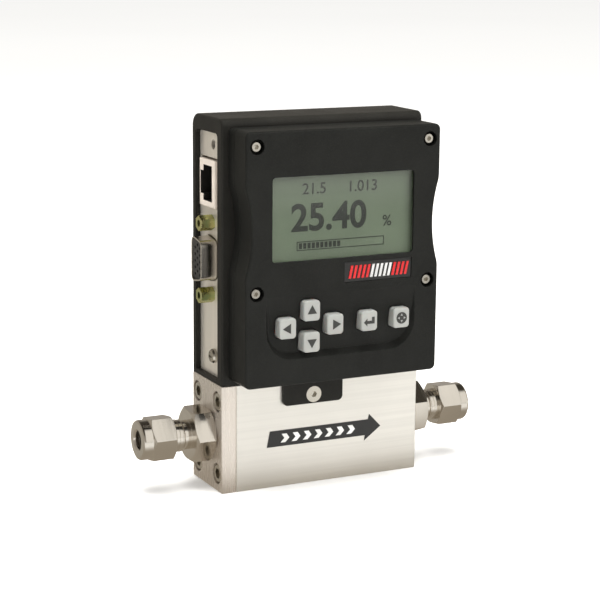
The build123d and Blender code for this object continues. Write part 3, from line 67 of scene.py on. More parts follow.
MM = 0.001
HOUSE = "instrument"
NODES = frame["nodes"]
SLOTS = {slot["slot"]: slot for slot in frame["record"]["materials"]}
ARROW_KEYS = {"key_left": 180, "key_up": 90, "key_right": 0, "key_down": 270}
METAL_SLOTS = ("stainless_block", "polished_steel", "screw_steel", "inner_steel", "plate_silver",
               "chromate", "contact_gold", "connector_tin", "copper_wire")
UPRIGHT = (math.radians(90), 0.0, 0.0)
PLASTIC_GRAIN = 2600.0
PLASTIC_EDGE = 0.2 * MM


def slot_colour(name):
    """A finish's plain colour as the record states it."""
    return tuple(SLOTS[name]["base_color"][:3])


def colour(name, description, default):
    """A colour property with the usual limits."""
    return bpy.props.FloatVectorProperty(name=name, description=description, subtype="COLOR",
                                         size=3, min=0.0, soft_max=1.0, default=default)


def length(name, description, default):
    """A length property in metres."""
    return bpy.props.FloatProperty(name=name, description=description, default=default, min=0.0,
                                   unit="LENGTH", precision=5)


class FlowFinishSettings(bpy.types.PropertyGroup):
    """Colours of the controller's finishes."""

    block: colour("Block steel", "Brushed steel of the flow block", (0.83, 0.81, 0.765))
    inlet_block: colour("Inlet block steel", "Steel of the inlet block", (0.78, 0.72, 0.66))
    fitting: colour("Fitting steel", "Polished steel of the tube fittings", (0.74, 0.70, 0.64))
    housing: colour("Housing", "Coated housing cover", (0.0145, 0.0140, 0.0122))
    module: colour("Display module", "Moulded display module", (0.0098, 0.0102, 0.0092))
    plate: colour("End plates", "Satin end plates", (0.84, 0.79, 0.71))
    key_cap: colour("Keys", "Moulded key caps", (0.34, 0.345, 0.33))
    symbol: colour("Key symbols", "Print on the key caps", (0.028, 0.028, 0.026))
    chromate: colour("Jackscrews", "Yellow chromate on the jackscrews", (0.55, 0.54, 0.20))
    lcd: colour("Display ground", "Unlit ground of the liquid crystal panel", (0.135, 0.168, 0.118))
    lcd_mark: colour("Display marks", "Dark segments of the panel", (0.010, 0.012, 0.010))
    badge_warm: colour("Badge stripes", "Warm stripes on the badge", (0.55, 0.012, 0.015))


class FlowDisplaySettings(bpy.types.PropertyGroup):
    """What the display shows, in plain numbers."""

    reading: bpy.props.StringProperty(name="Reading", description="Large number", default="25.40")
    reading_height: length("Reading height", "Height of the large digits", 9.0 * MM)
    left_number: bpy.props.StringProperty(name="Left number", description="Small number at the "
                                          "top left", default="21.5")
    right_number: bpy.props.StringProperty(name="Right number", description="Small number at the "
                                           "top right", default="1.013")
    number_height: length("Number height", "Height of the small digits", 3.7 * MM)
    bar_share: bpy.props.FloatProperty(name="Bar share", description="Filled share of the bar",
                                       default=0.5, min=0.0, max=1.0, subtype="FACTOR")


class FlowStageSettings(bpy.types.PropertyGroup):
    """Camera, lights and floor."""

    camera_place: bpy.props.FloatVectorProperty(
        name="Camera place", description="Where the camera stands", unit="LENGTH", size=3,
        default=(-276.43 * MM, -559.72 * MM, 193.93 * MM))
    camera_turn: bpy.props.FloatVectorProperty(
        name="Camera turn", description="Turn of the camera about X, Y and Z", subtype="EULER",
        size=3, default=tuple(math.radians(a) for a in (78.555, -0.562, -26.406)))
    lens: bpy.props.FloatProperty(name="Lens", description="Focal length in millimetres",
                                  default=108.48, min=20.0)
    shift: bpy.props.FloatVectorProperty(name="Shift", description="Camera shift that the framing "
                                         "needs", size=2, default=(-0.0231, -0.0223))
    key_power: bpy.props.FloatProperty(name="Key light", description="Power of the large front "
                                       "softbox in watts", default=10.0, min=0.0)
    top_power: bpy.props.FloatProperty(name="Top light", description="Power of the light above "
                                       "the part in watts", default=24.0, min=0.0)
    ambient: bpy.props.FloatProperty(name="Ambient", description="Strength of the even room light",
                                     default=0.50, min=0.0)
    floor: colour("Floor", "Pale floor", (0.90, 0.90, 0.89))
    # Painted reflection tones: the floor glows in these colours only where polished metal mirrors
    # it; brown painted shade under the part, a painted bright tone before it.
    painted_reflection_below: colour("Floor below", "How polished steel mirrors the floor under the part",
                        (0.38, 0.335, 0.27))
    painted_reflection_behind: colour("Floor behind", "The same for the floor behind and to the left",
                         (0.44, 0.41, 0.35))
    painted_reflection_before: colour("Floor before", "The same for the floor just before the part",
                         (1.12, 1.10, 1.05))
    painted_reflection_far: colour("Floor far", "The same for the floor further to the front",
                      (0.34, 0.33, 0.31))


# Selection and modelling helpers

def deselect_all():
    """Leave edit mode and select nothing."""
    if bpy.context.object and bpy.context.object.mode != "OBJECT":
        bpy.ops.object.mode_set(mode="OBJECT")
    bpy.ops.object.select_all(action="DESELECT")


def choose(piece):
    """Make a piece the only selected and active object."""
    deselect_all()
    piece.select_set(True)
    bpy.context.view_layer.objects.active = piece


def select_where(piece, kind, test):
    """In edit mode, select the vertices or edges whose middle passes a test."""
    mesh = bmesh.from_edit_mesh(piece.data)
    bpy.ops.mesh.select_all(action="DESELECT")
    edges = kind == "EDGE"
    bpy.context.tool_settings.mesh_select_mode = (not edges, edges, False)
    if edges:
        items = [(e, (e.verts[0].co + e.verts[1].co) / 2) for e in mesh.edges]
    else:
        items = [(v, v.co) for v in mesh.verts]
    for item, middle in items:
        if test(middle):
            item.select_set(True)
    mesh.select_flush_mode()
    bmesh.update_edit_mesh(piece.data)


def open_for_edit(piece):
    """Put a piece's place in its mesh and open it in edit mode with all of it selected."""
    choose(piece)
    bpy.ops.object.transform_apply(location=True, rotation=True, scale=True)
    bpy.ops.object.mode_set(mode="EDIT")
    bpy.ops.mesh.select_all(action="SELECT")


def start_plane(middle, width, height):
    """An upright rectangle that faces the front, open for editing."""
    bpy.ops.mesh.primitive_plane_add(size=1.0, location=middle, rotation=UPRIGHT)
    piece = bpy.context.object
    piece.scale = (width, height, 1.0)
    open_for_edit(piece)
    return piece


def start_disc(middle, radius, corners, turned=0.0):
    """An upright disc or polygon that faces the front, open for editing."""
    bpy.ops.mesh.primitive_circle_add(vertices=corners, radius=radius, fill_type="NGON",
                                      location=middle, rotation=(UPRIGHT[0], turned, 0.0))
    piece = bpy.context.object
    open_for_edit(piece)
    return piece


def extrude(x, y, z):
    """Extrude what is selected by a move."""
    bpy.ops.mesh.extrude_region_move(TRANSFORM_OT_translate={"value": (x, y, z)})


def thicken(depth):
    """Thicken the selected faces to the front, turn normals outwards and leave edit mode."""
    extrude(0.0, -depth, 0.0)
    bpy.ops.mesh.select_all(action="SELECT")
    bpy.ops.mesh.normals_make_consistent(inside=False)
    bpy.ops.object.mode_set(mode="OBJECT")


def apply_modifier(piece, kind, **values):
    """Add a modifier with its values and apply it."""
    choose(piece)
    modifier = piece.modifiers.new(kind.title(), kind)
    for name, value in values.items():
        setattr(modifier, name, value)
    bpy.ops.object.modifier_apply(modifier=modifier.name)


def repeat_along(piece, count, pitch):
    """Repeat a piece along X at an even pitch."""
    apply_modifier(piece, "ARRAY", count=count, use_relative_offset=False,
                   use_constant_offset=True, constant_offset_displace=(pitch, 0.0, 0.0))


def finish_piece(piece, name, body, finish):
    """Put a piece's place in its mesh, name it, dress it and let it ride on its body."""
    choose(piece)
    bpy.ops.object.transform_apply(location=True, rotation=True, scale=True)
    piece.name = name
    piece.data.name = name
    piece.data.materials.clear()
    piece.data.materials.append(finish_of(finish))
    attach(piece, body)


# Node groups that several finishes share

def new_group(name, inputs, outputs):
    """A shader node group with named sockets, and its input and output nodes."""
    group = bpy.data.node_groups.new(name, "ShaderNodeTree")
    for socket, kind, value in inputs:
        made = group.interface.new_socket(socket, in_out="INPUT", socket_type=kind)
        if value is not None:
            made.default_value = value
    for socket, kind in outputs:
        group.interface.new_socket(socket, in_out="OUTPUT", socket_type=kind)
    return group, group.nodes.new("NodeGroupInput"), group.nodes.new("NodeGroupOutput")


def add_math(tree, operation, first, second=None, clamp=False):
    """A math node fed by sockets or plain numbers. It returns its output socket."""
    node = tree.nodes.new("ShaderNodeMath")
    node.operation = operation
    node.use_clamp = clamp
    for socket, value in zip(node.inputs, (first, second)):
        if value is None:
            continue
        if isinstance(value, bpy.types.NodeSocket):
            tree.links.new(value, socket)
        else:
            socket.default_value = value
    return node.outputs[0]


def add_noise(tree, vector, scale, detail=3.0, roughness=0.55):
    """A noise texture on a vector. It returns its value socket."""
    node = tree.nodes.new("ShaderNodeTexNoise")
    node.inputs["Detail"].default_value = detail
    node.inputs["Roughness"].default_value = roughness
    tree.links.new(vector, node.inputs["Vector"])
    if isinstance(scale, bpy.types.NodeSocket):
        tree.links.new(scale, node.inputs["Scale"])
    else:
        node.inputs["Scale"].default_value = scale
    return node.outputs[0]


def add_range(tree, value, low, high, new_low=0.0, new_high=1.0):
    """A value moved softly from one range to another and held inside it."""
    node = tree.nodes.new("ShaderNodeMapRange")
    node.interpolation_type = "SMOOTHSTEP"
    tree.links.new(value, node.inputs["Value"])
    for socket, number in zip(("From Min", "From Max", "To Min", "To Max"),
                              (low, high, new_low, new_high)):
        node.inputs[socket].default_value = number
    return node.outputs["Result"]


def add_mix(tree, factor, first, second):
    """Mix two colours, each a plain colour or a socket. It returns the result socket."""
    node = tree.nodes.new("ShaderNodeMix")
    node.data_type = "RGBA"
    tree.links.new(factor, node.inputs[0])
    for socket, value in ((node.inputs[6], first), (node.inputs[7], second)):
        if isinstance(value, bpy.types.NodeSocket):
            tree.links.new(value, socket)
        else:
            socket.default_value = (*value, 1.0)
    return node.outputs[2]


def build_grain_group():
    """Fine moulded or sprayed texture: small bumps and a broad, faint tone."""
    group, inside, out = new_group("Fine grain", [("Vector", "NodeSocketVector", None),
                                                  ("Scale", "NodeSocketFloat", 3000.0),
                                                  ("Tone Scale", "NodeSocketFloat", 45.0)],
                                   [("Height", "NodeSocketFloat"), ("Tone", "NodeSocketFloat")])
    bumps = add_noise(group, inside.outputs["Vector"], inside.outputs["Scale"], 2.0, 0.5)
    tone = add_noise(group, inside.outputs["Vector"], inside.outputs["Tone Scale"], 4.0, 0.6)
    group.links.new(add_range(group, bumps, 0.3, 0.7), out.inputs["Height"])
    group.links.new(add_range(group, tone, 0.35, 0.65), out.inputs["Tone"])
    return group


def build_brush_group():
    """Brushed lines: noise stretched along the way the abrasive ran."""
    group, inside, out = new_group("Brushed lines",
                                   [("Vector", "NodeSocketVector", None),
                                    ("Stretch", "NodeSocketVector", (60, 5000, 5000)),
                                    ("Tone Scale", "NodeSocketFloat", 30.0)],
                                   [("Height", "NodeSocketFloat"), ("Streak", "NodeSocketFloat"),
                                    ("Tone", "NodeSocketFloat")])
    stretch = group.nodes.new("ShaderNodeVectorMath")
    stretch.operation = "MULTIPLY"
    group.links.new(inside.outputs["Vector"], stretch.inputs[0])
    group.links.new(inside.outputs["Stretch"], stretch.inputs[1])
    fine = add_noise(group, stretch.outputs[0], 1.0, 4.0, 0.7)
    broad = add_noise(group, stretch.outputs[0], 0.12, 3.0, 0.6)
    tone = add_noise(group, inside.outputs["Vector"], inside.outputs["Tone Scale"], 3.0, 0.5)
    group.links.new(fine, out.inputs["Height"])
    group.links.new(add_range(group, broad, 0.3, 0.7), out.inputs["Streak"])
    group.links.new(add_range(group, tone, 0.3, 0.7), out.inputs["Tone"])
    return group


def build_edge_group():
    """Soft edges: a rounded normal, and a mask of the edges broken up by noise."""
    group, inside, out = new_group("Soft edges", [("Vector", "NodeSocketVector", None),
                                                  ("Radius", "NodeSocketFloat", 0.0002),
                                                  ("Break Up", "NodeSocketFloat", 900.0)],
                                   [("Normal", "NodeSocketVector"), ("Edge", "NodeSocketFloat")])
    bevel = group.nodes.new("ShaderNodeBevel")
    bevel.samples = 4
    group.links.new(inside.outputs["Radius"], bevel.inputs["Radius"])
    surface = group.nodes.new("ShaderNodeNewGeometry")
    dot = group.nodes.new("ShaderNodeVectorMath")
    dot.operation = "DOT_PRODUCT"
    group.links.new(bevel.outputs["Normal"], dot.inputs[0])
    group.links.new(surface.outputs["Normal"], dot.inputs[1])
    edge = add_range(group, dot.outputs["Value"], 0.995, 0.85)
    noise = add_noise(group, inside.outputs["Vector"], inside.outputs["Break Up"], 3.0, 0.6)
    broken = add_math(group, "MULTIPLY", edge, add_range(group, noise, 0.4, 0.6), clamp=True)
    group.links.new(bevel.outputs["Normal"], out.inputs["Normal"])
    group.links.new(broken, out.inputs["Edge"])
    return group


GROUPS = {}


def shared_group(name):
    """The shared node group of that name, built when it is first asked for."""
    makers = {"grain": build_grain_group, "brush": build_brush_group, "edge": build_edge_group}
    if name not in GROUPS:
        GROUPS[name] = makers[name]()
    return GROUPS[name]


class Finish:
    """A material under construction: its nodes, its shader and the shared groups placed in it."""

    def __init__(self, name, roughness=0.5, metallic=0.0, **constants):
        self.material = bpy.data.materials.new(name)
        self.material.use_nodes = True
        self.tree = self.material.node_tree
        self.shader = self.tree.nodes["Principled BSDF"]
        self.shader.inputs["Roughness"].default_value = roughness
        self.shader.inputs["Metallic"].default_value = metallic
        for socket, value in constants.items():
            self.shader.inputs[socket.replace("_", " ")].default_value = value
        place = self.tree.nodes.new("ShaderNodeTexCoord")
        self.place = place.outputs["Object"]

    def group(self, name, **values):
        """Place a shared group, feed it the object's coordinates and set its values."""
        node = self.tree.nodes.new("ShaderNodeGroup")
        node.node_tree = shared_group(name)
        self.tree.links.new(self.place, node.inputs["Vector"])
        for socket, value in values.items():
            node.inputs[socket.replace("_", " ")].default_value = value
        return node

    def mix(self, factor, first, second):
        """Mix two colours in this material."""
        return add_mix(self.tree, factor, first, second)

    def feed(self, socket, value):
        """Link a value to one of the shader's sockets."""
        self.tree.links.new(value, self.shader.inputs[socket])

    def bump(self, height, strength, distance, normal=None):
        """Feed the shader's normal from a height, on top of another normal if there is one."""
        node = self.tree.nodes.new("ShaderNodeBump")
        node.inputs["Strength"].default_value = strength
        node.inputs["Distance"].default_value = distance
        self.tree.links.new(height, node.inputs["Height"])
        if normal is not None:
            self.tree.links.new(normal, node.inputs["Normal"])
        self.feed("Normal", node.outputs["Normal"])


def tinted(base, factor):
    """A colour made lighter or darker by a factor."""
    return tuple(min(1.0, channel * factor) for channel in base)


# Finishes

def coated_finish(name, base, grain_scale, depth, edge_radius, edge_colour):
    """Dark coated or moulded plastic with a fine grain and slightly lighter rubbed edges."""
    finish = Finish(name, roughness=0.5, Specular_IOR_Level=0.15)
    grain = finish.group("grain", Scale=grain_scale, Tone_Scale=38.0)
    edge = finish.group("edge", Radius=edge_radius, Break_Up=700.0)
    toned = finish.mix(grain.outputs["Tone"], tinted(base, 0.85), tinted(base, 1.2))
    speckled = finish.mix(add_range(finish.tree, grain.outputs["Height"], 0.55, 1.0, 0.0, 0.35),
                          toned, tinted(base, 2.4))
    worn = add_math(finish.tree, "MULTIPLY", edge.outputs["Edge"], 0.5)
    finish.feed("Base Color", finish.mix(worn, speckled, edge_colour))
    finish.feed("Roughness", add_range(finish.tree, grain.outputs["Tone"], 0.0, 1.0, 0.44, 0.54))
    finish.bump(grain.outputs["Height"], 0.45, depth, edge.outputs["Normal"])
    return finish.material


def brushed_finish(name, base, stretch, roughness, metallic=0.85):
    """Brushed steel: long faint streaks and bright broken edges."""
    finish = Finish(name, roughness=roughness, metallic=metallic)
    brush = finish.group("brush", Stretch=stretch, Tone_Scale=28.0)
    edge = finish.group("edge", Radius=0.0003, Break_Up=1400.0)
    toned = finish.mix(brush.outputs["Tone"], tinted(base, 0.96), tinted(base, 1.03))
    streaked = finish.mix(add_range(finish.tree, brush.outputs["Streak"], 0.0, 1.0, 0.0, 0.5),
                          toned, tinted(base, 0.90))
    finish.feed("Base Color", finish.mix(edge.outputs["Edge"], streaked, tinted(base, 1.12)))
    finish.feed("Roughness", add_range(finish.tree, brush.outputs["Height"], 0.3, 0.7,
                                       roughness - 0.06, roughness + 0.06))
    finish.bump(brush.outputs["Height"], 0.35, 0.000004, edge.outputs["Normal"])
    return finish.material


def turned_finish(name, base, roughness, edge_radius=0.00025):
    """Polished, turned steel with faint turning lines round the tube's axis."""
    finish = Finish(name, roughness=roughness, metallic=1.0)
    brush = finish.group("brush", Stretch=(4200.0, 120.0, 120.0), Tone_Scale=60.0)
    edge = finish.group("edge", Radius=edge_radius, Break_Up=1800.0)
    toned = finish.mix(brush.outputs["Tone"], tinted(base, 0.93), base)
    finish.feed("Base Color", finish.mix(edge.outputs["Edge"], toned, tinted(base, 1.25)))
    finish.feed("Roughness", add_range(finish.tree, brush.outputs["Streak"], 0.0, 1.0,
                                       roughness - 0.04, roughness + 0.06))
    finish.bump(brush.outputs["Height"], 0.25, 0.000003, edge.outputs["Normal"])
    return finish.material


def plain_plastic(name, base, roughness, depth=0.000006, **constants):
    """Smooth moulded plastic with a faint grain and soft edges."""
    finish = Finish(name, roughness=roughness, **constants)
    grain = finish.group("grain", Scale=PLASTIC_GRAIN, Tone_Scale=90.0)
    edge = finish.group("edge", Radius=PLASTIC_EDGE, Break_Up=900.0)
    toned = finish.mix(grain.outputs["Tone"], tinted(base, 0.94), tinted(base, 1.05))
    finish.feed("Base Color", toned)
    finish.feed("Roughness", add_range(finish.tree, grain.outputs["Tone"], 0.0, 1.0,
                                       roughness - 0.04, roughness + 0.05))
    finish.bump(grain.outputs["Height"], 0.3, depth, edge.outputs["Normal"])
    return finish.material


def jack_finish(name, base):
    """Light jack shell whose opening, what lies inside the shell's outer walls, is painted
    near-black as painted shade.
    """
    wall = 0.6 * MM
    skin = 0.1 * MM
    low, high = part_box("network_jack")
    finish = Finish(name, roughness=0.42)
    grain = finish.group("grain", Scale=PLASTIC_GRAIN, Tone_Scale=90.0)
    edge = finish.group("edge", Radius=PLASTIC_EDGE, Break_Up=900.0)
    parts = finish.tree.nodes.new("ShaderNodeSeparateXYZ")
    finish.tree.links.new(finish.place, parts.inputs[0])
    tests = [add_math(finish.tree, "GREATER_THAN", parts.outputs[0], low.x + skin),
             add_math(finish.tree, "GREATER_THAN", parts.outputs[1], low.y + wall),
             add_math(finish.tree, "LESS_THAN", parts.outputs[1], high.y - wall),
             add_math(finish.tree, "GREATER_THAN", parts.outputs[2], low.z + wall),
             add_math(finish.tree, "LESS_THAN", parts.outputs[2], high.z - wall)]
    # The opening inside the walls is painted near-black as painted shade.
    mouth_shade = tests[0]
    for test in tests[1:]:
        mouth_shade = add_math(finish.tree, "MULTIPLY", mouth_shade, test)
    toned = finish.mix(grain.outputs["Tone"], tinted(base, 0.94), tinted(base, 1.05))
    finish.feed("Base Color", finish.mix(mouth_shade, toned, (0.012, 0.011, 0.010)))
    finish.bump(grain.outputs["Height"], 0.3, 0.000006, edge.outputs["Normal"])
    return finish.material


def chromate_finish(name, base):
    """Yellow chromate on zinc: patches of olive, straw and pale green."""
    finish = Finish(name, roughness=0.3, metallic=1.0)
    brush = finish.group("brush", Stretch=(2500.0, 300.0, 300.0), Tone_Scale=420.0)
    edge = finish.group("edge", Radius=0.0002, Break_Up=1500.0)
    patches = finish.mix(brush.outputs["Tone"], base, (0.34, 0.46, 0.20))
    straw = finish.mix(add_math(finish.tree, "MULTIPLY", brush.outputs["Streak"], 0.6), patches,
                       (0.72, 0.66, 0.30))
    finish.feed("Base Color", finish.mix(edge.outputs["Edge"], straw, (0.85, 0.86, 0.55)))
    finish.feed("Roughness", add_range(finish.tree, brush.outputs["Tone"], 0.0, 1.0, 0.24, 0.38))
    finish.bump(brush.outputs["Height"], 0.3, 0.000004, edge.outputs["Normal"])
    return finish.material


def lcd_finish(name, base):
    """The panel's ground: grey green with a faint grid of picture points."""
    finish = Finish(name, roughness=0.42, Specular_IOR_Level=0.4)
    grain = finish.group("grain", Scale=1800.0, Tone_Scale=30.0)
    grid = finish.tree.nodes.new("ShaderNodeTexBrick")
    grid.offset = 0.0
    grid.inputs["Scale"].default_value = 1.0
    grid.inputs["Mortar Size"].default_value = 0.00003
    grid.inputs["Mortar Smooth"].default_value = 0.3
    grid.inputs["Brick Width"].default_value = 0.00042
    grid.inputs["Row Height"].default_value = 0.00042
    upright = finish.tree.nodes.new("ShaderNodeMapping")
    upright.inputs["Rotation"].default_value = (math.radians(-90), 0.0, 0.0)
    finish.tree.links.new(finish.place, upright.inputs["Vector"])
    finish.tree.links.new(upright.outputs["Vector"], grid.inputs["Vector"])
    toned = finish.mix(grain.outputs["Tone"], tinted(base, 0.95), tinted(base, 1.05))
    lines = add_math(finish.tree, "MULTIPLY", grid.outputs["Fac"], 0.18)
    finish.feed("Base Color", finish.mix(lines, toned, tinted(base, 1.35)))
    finish.bump(grain.outputs["Height"], 0.1, 0.000002)
    return finish.material


def window_finish(name):
    """Clear window over the panel, with faint smudges in its gloss."""
    finish = Finish(name, roughness=0.03, Transmission_Weight=1.0, IOR=1.46)
    finish.shader.inputs["Base Color"].default_value = (0.94, 0.97, 0.94, 1.0)
    grain = finish.group("grain", Scale=600.0, Tone_Scale=60.0)
    finish.feed("Roughness", add_range(finish.tree, grain.outputs["Tone"], 0.0, 1.0, 0.015, 0.06))
    return finish.material


def film_finish(name, base, roughness=0.35):
    """Printed film or ink: an even colour with a slight orange peel."""
    finish = Finish(name, roughness=roughness)
    grain = finish.group("grain", Scale=1500.0, Tone_Scale=140.0)
    finish.feed("Base Color", finish.mix(grain.outputs["Tone"], tinted(base, 0.92),
                                         tinted(base, 1.06)))
    finish.bump(grain.outputs["Height"], 0.15, 0.000003)
    return finish.material


def board_finish(name, base):
    """Circuit board: green lacquer, lighter in broad noise patches for the copper tracks."""
    finish = Finish(name, roughness=0.35, Coat_Weight=0.4)
    grain = finish.group("grain", Scale=900.0, Tone_Scale=400.0)
    tracks = finish.mix(grain.outputs["Tone"], base, tinted(base, 2.0))
    finish.feed("Base Color", tracks)
    finish.bump(grain.outputs["Tone"], 0.3, 0.00002)
    return finish.material


def winding_finish(name, base):
    """Enamelled wire: close turns round the coil, as ridges along its height."""
    finish = Finish(name, roughness=0.3, metallic=1.0)
    brush = finish.group("brush", Stretch=(60.0, 60.0, 5200.0), Tone_Scale=150.0)
    finish.feed("Base Color", finish.mix(brush.outputs["Streak"], tinted(base, 0.7), base))
    finish.bump(brush.outputs["Height"], 0.6, 0.00004)
    return finish.material


def make_finishes():
    """All the finishes, by the record's slot name, plus the printed marks."""
    look = bpy.context.scene.flow_finish
    return {
        "stainless_block": brushed_finish("brushed_block_steel", look.block,
                                          (45.0, 5200.0, 5200.0), 0.34),
        "inlet_steel": brushed_finish("ground_inlet_steel", look.inlet_block,
                                      (3800.0, 3800.0, 60.0), 0.3),
        "polished_steel": turned_finish("polished_fitting_steel", look.fitting, 0.15),
        "screw_steel": turned_finish("bright_screw_steel", (0.60, 0.57, 0.51), 0.2, 0.00012),
        "inner_steel": brushed_finish("machined_inner_steel", slot_colour("inner_steel"),
                                      (800.0, 800.0, 5000.0), 0.35),
        "seal_rubber": plain_plastic("seal_rubber", slot_colour("seal_rubber"), 0.7, 0.00001),
        "housing_black": coated_finish("coated_housing", look.housing, 5200.0, 0.00002, 0.0004,
                                       (0.06, 0.056, 0.05)),
        "module_black": coated_finish("moulded_module", look.module, 3600.0, 0.00003, 0.0003,
                                      (0.05, 0.05, 0.047)),
        "plate_silver": brushed_finish("satin_end_plate", look.plate, (3600.0, 3600.0, 70.0), 0.4,
                                       metallic=0.7),
        "jack_grey": jack_finish("jack_shell", (0.74, 0.66, 0.58)),
        "contact_gold": turned_finish("gold_contacts", slot_colour("contact_gold"), 0.25, 0.00005),
        "connector_tin": turned_finish("plated_connector_shell", (0.72, 0.68, 0.62), 0.2, 0.0002),
        "connector_black": plain_plastic("connector_insulator", (0.02, 0.02, 0.02), 0.42),
        "copper_wire": winding_finish("enamelled_wire", slot_colour("copper_wire")),
        "chromate": chromate_finish("yellow_chromate", look.chromate),
        "board_green": board_finish("circuit_board", slot_colour("board_green")),
        "window_clear": window_finish("display_window_clear"),
        "lcd_green": lcd_finish("panel_ground", look.lcd),
        "key_grey": plain_plastic("key_caps", look.key_cap, 0.42, Subsurface_Weight=0.04),
        "label_black": film_finish("label_film", (0.012, 0.012, 0.012), 0.3),
        "badge_dark": film_finish("badge_ground", (0.012, 0.012, 0.012), 0.4),
        "lcd_mark": film_finish("panel_marks", look.lcd_mark, 0.5),
        "key_symbol": film_finish("key_symbols", look.symbol, 0.5),
        "white_ink": film_finish("white_ink", (0.82, 0.82, 0.80), 0.4),
        "badge_warm": film_finish("badge_warm_stripes", look.badge_warm, 0.35),
        "badge_silver": film_finish("badge_silver_stripes", (0.62, 0.62, 0.62), 0.3),
    }


FINISHES = {}


def finish_of(name):
    """A finish by name."""
    if not FINISHES:
        FINISHES.update(make_finishes())
    return FINISHES[name]


def dress(node, finish):
    """Give a piece of the frame its finish in every material slot."""
    piece = NODES[node]
    if not piece.material_slots:
        piece.data.materials.append(None)
    for slot in piece.material_slots:
        slot.material = finish_of(finish)


# Printed marks

def flat_text(words, height, middle, boldness, name):
    """Numbers as thin raised marks that face the front."""
    cap_share = 0.70
    mark_depth = 0.04 * MM
    bpy.ops.object.text_add(location=middle, rotation=UPRIGHT)
    piece = bpy.context.object
    piece.data.body = words
    piece.data.size = height / cap_share
    piece.data.align_x = "CENTER"
    piece.data.align_y = "CENTER"
    piece.data.offset = boldness * height
    piece.data.extrude = mark_depth / 2
    choose(piece)
    bpy.ops.object.convert(target="MESH")
    finish_piece(bpy.context.object, name, HOUSE, "lcd_mark")


def display_place():
    """Middle, width and height of the visible panel, and the depth of its ground."""
    window_lap = 1.5 * MM
    panel_recess = 0.5 * MM
    mark_gap = 0.06 * MM
    low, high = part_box("display_window")
    panel_low, panel_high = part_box("lcd_panel")
    middle = (low + high) / 2
    middle.y = panel_low.y + panel_recess - mark_gap
    return middle, high.x - low.x - 2 * window_lap, high.z - low.z - 2 * window_lap


def dress_slots(metal):
    """Give the pieces in the metal slots their finishes, or else all the others."""
    special = {"inlet_block": "inlet_steel"}
    for entry in frame["record"]["subparts"]:
        node, slot = entry["node"], entry["material_slot"]
        if (slot in METAL_SLOTS) == metal:
            dress(node, special.get(node, slot))


class FLOW_OT_dress_steel(bpy.types.Operator):
    """Brush the flow block and polish the tube fittings and screws"""

    bl_idname = "flow.dress_steel"
    bl_label = "Dress steel pieces"

    def execute(self, context):
        dress_slots(metal=True)
        return {"FINISHED"}


class FLOW_OT_dress_plastic(bpy.types.Operator):
    """Give the housing, display module, keys, connectors and seals their finishes"""

    bl_idname = "flow.dress_plastic"
    bl_label = "Dress plastic pieces"

    def execute(self, context):
        dress_slots(metal=False)
        NODES["display_window"].visible_shadow = False
        return {"FINISHED"}


class FLOW_OT_add_reading(bpy.types.Operator):
    """Put the numbers and their sign on the display"""

    bl_idname = "flow.add_reading"
    bl_label = "Add display numbers"

    bold = 0.035
    regular = 0.012
    upper_row = 0.33

    def execute(self, context):
        show = context.scene.flow_display
        middle, width, height = display_place()
        small = show.number_height
        for name, words, tall, boldness, across, up in (
                ("lcd_reading", show.reading, show.reading_height, self.bold, -0.085, -0.02),
                ("lcd_sign", "%", small, self.regular, 0.33, -0.11),
                ("lcd_left_number", show.left_number, small, self.regular, -0.19,
                 self.upper_row),
                ("lcd_right_number", show.right_number, small, self.regular, 0.15,
                 self.upper_row)):
            place = middle + Vector((across * width, 0.0, up * height))
            flat_text(words, tall, place, boldness, name)
        return {"FINISHED"}


class FLOW_OT_add_bar(bpy.types.Operator):
    """Put the flow bar with its frame under the reading"""

    bl_idname = "flow.add_bar"
    bl_label = "Add display bar"

    width_share = 0.62
    height_share = 0.11
    drop_share = 0.34
    segments = 20
    segment_share = 0.72
    line = 0.3 * MM
    depth = 0.04 * MM

    def bar_frame(self, middle, width, height):
        """A thin rectangle frame, inset from a plane and thickened."""
        piece = start_plane(middle, width, height)
        bpy.ops.mesh.inset(thickness=self.line, use_even_offset=True)
        bpy.ops.mesh.delete(type="FACE")
        bpy.ops.mesh.select_all(action="SELECT")
        thicken(self.depth)
        finish_piece(piece, "lcd_bar_frame", HOUSE, "lcd_mark")

    def bar_segments(self, middle, width, height, count):
        """One segment, repeated along the bar."""
        room = 2 * self.line
        pitch = (width - 2 * room) / self.segments
        left = middle.x - width / 2 + room + pitch / 2
        piece = start_plane((left, middle.y, middle.z), pitch * self.segment_share,
                            height - 2 * room)
        thicken(self.depth)
        repeat_along(piece, count, pitch)
        finish_piece(piece, "lcd_bar", HOUSE, "lcd_mark")

    def execute(self, context):
        show = context.scene.flow_display
        middle, width, height = display_place()
        middle = middle + Vector((0.0, 0.0, -self.drop_share * height))
        size = (self.width_share * width, self.height_share * height)
        self.bar_frame(middle, *size)
        self.bar_segments(middle, *size, round(self.segments * show.bar_share))
        return {"FINISHED"}


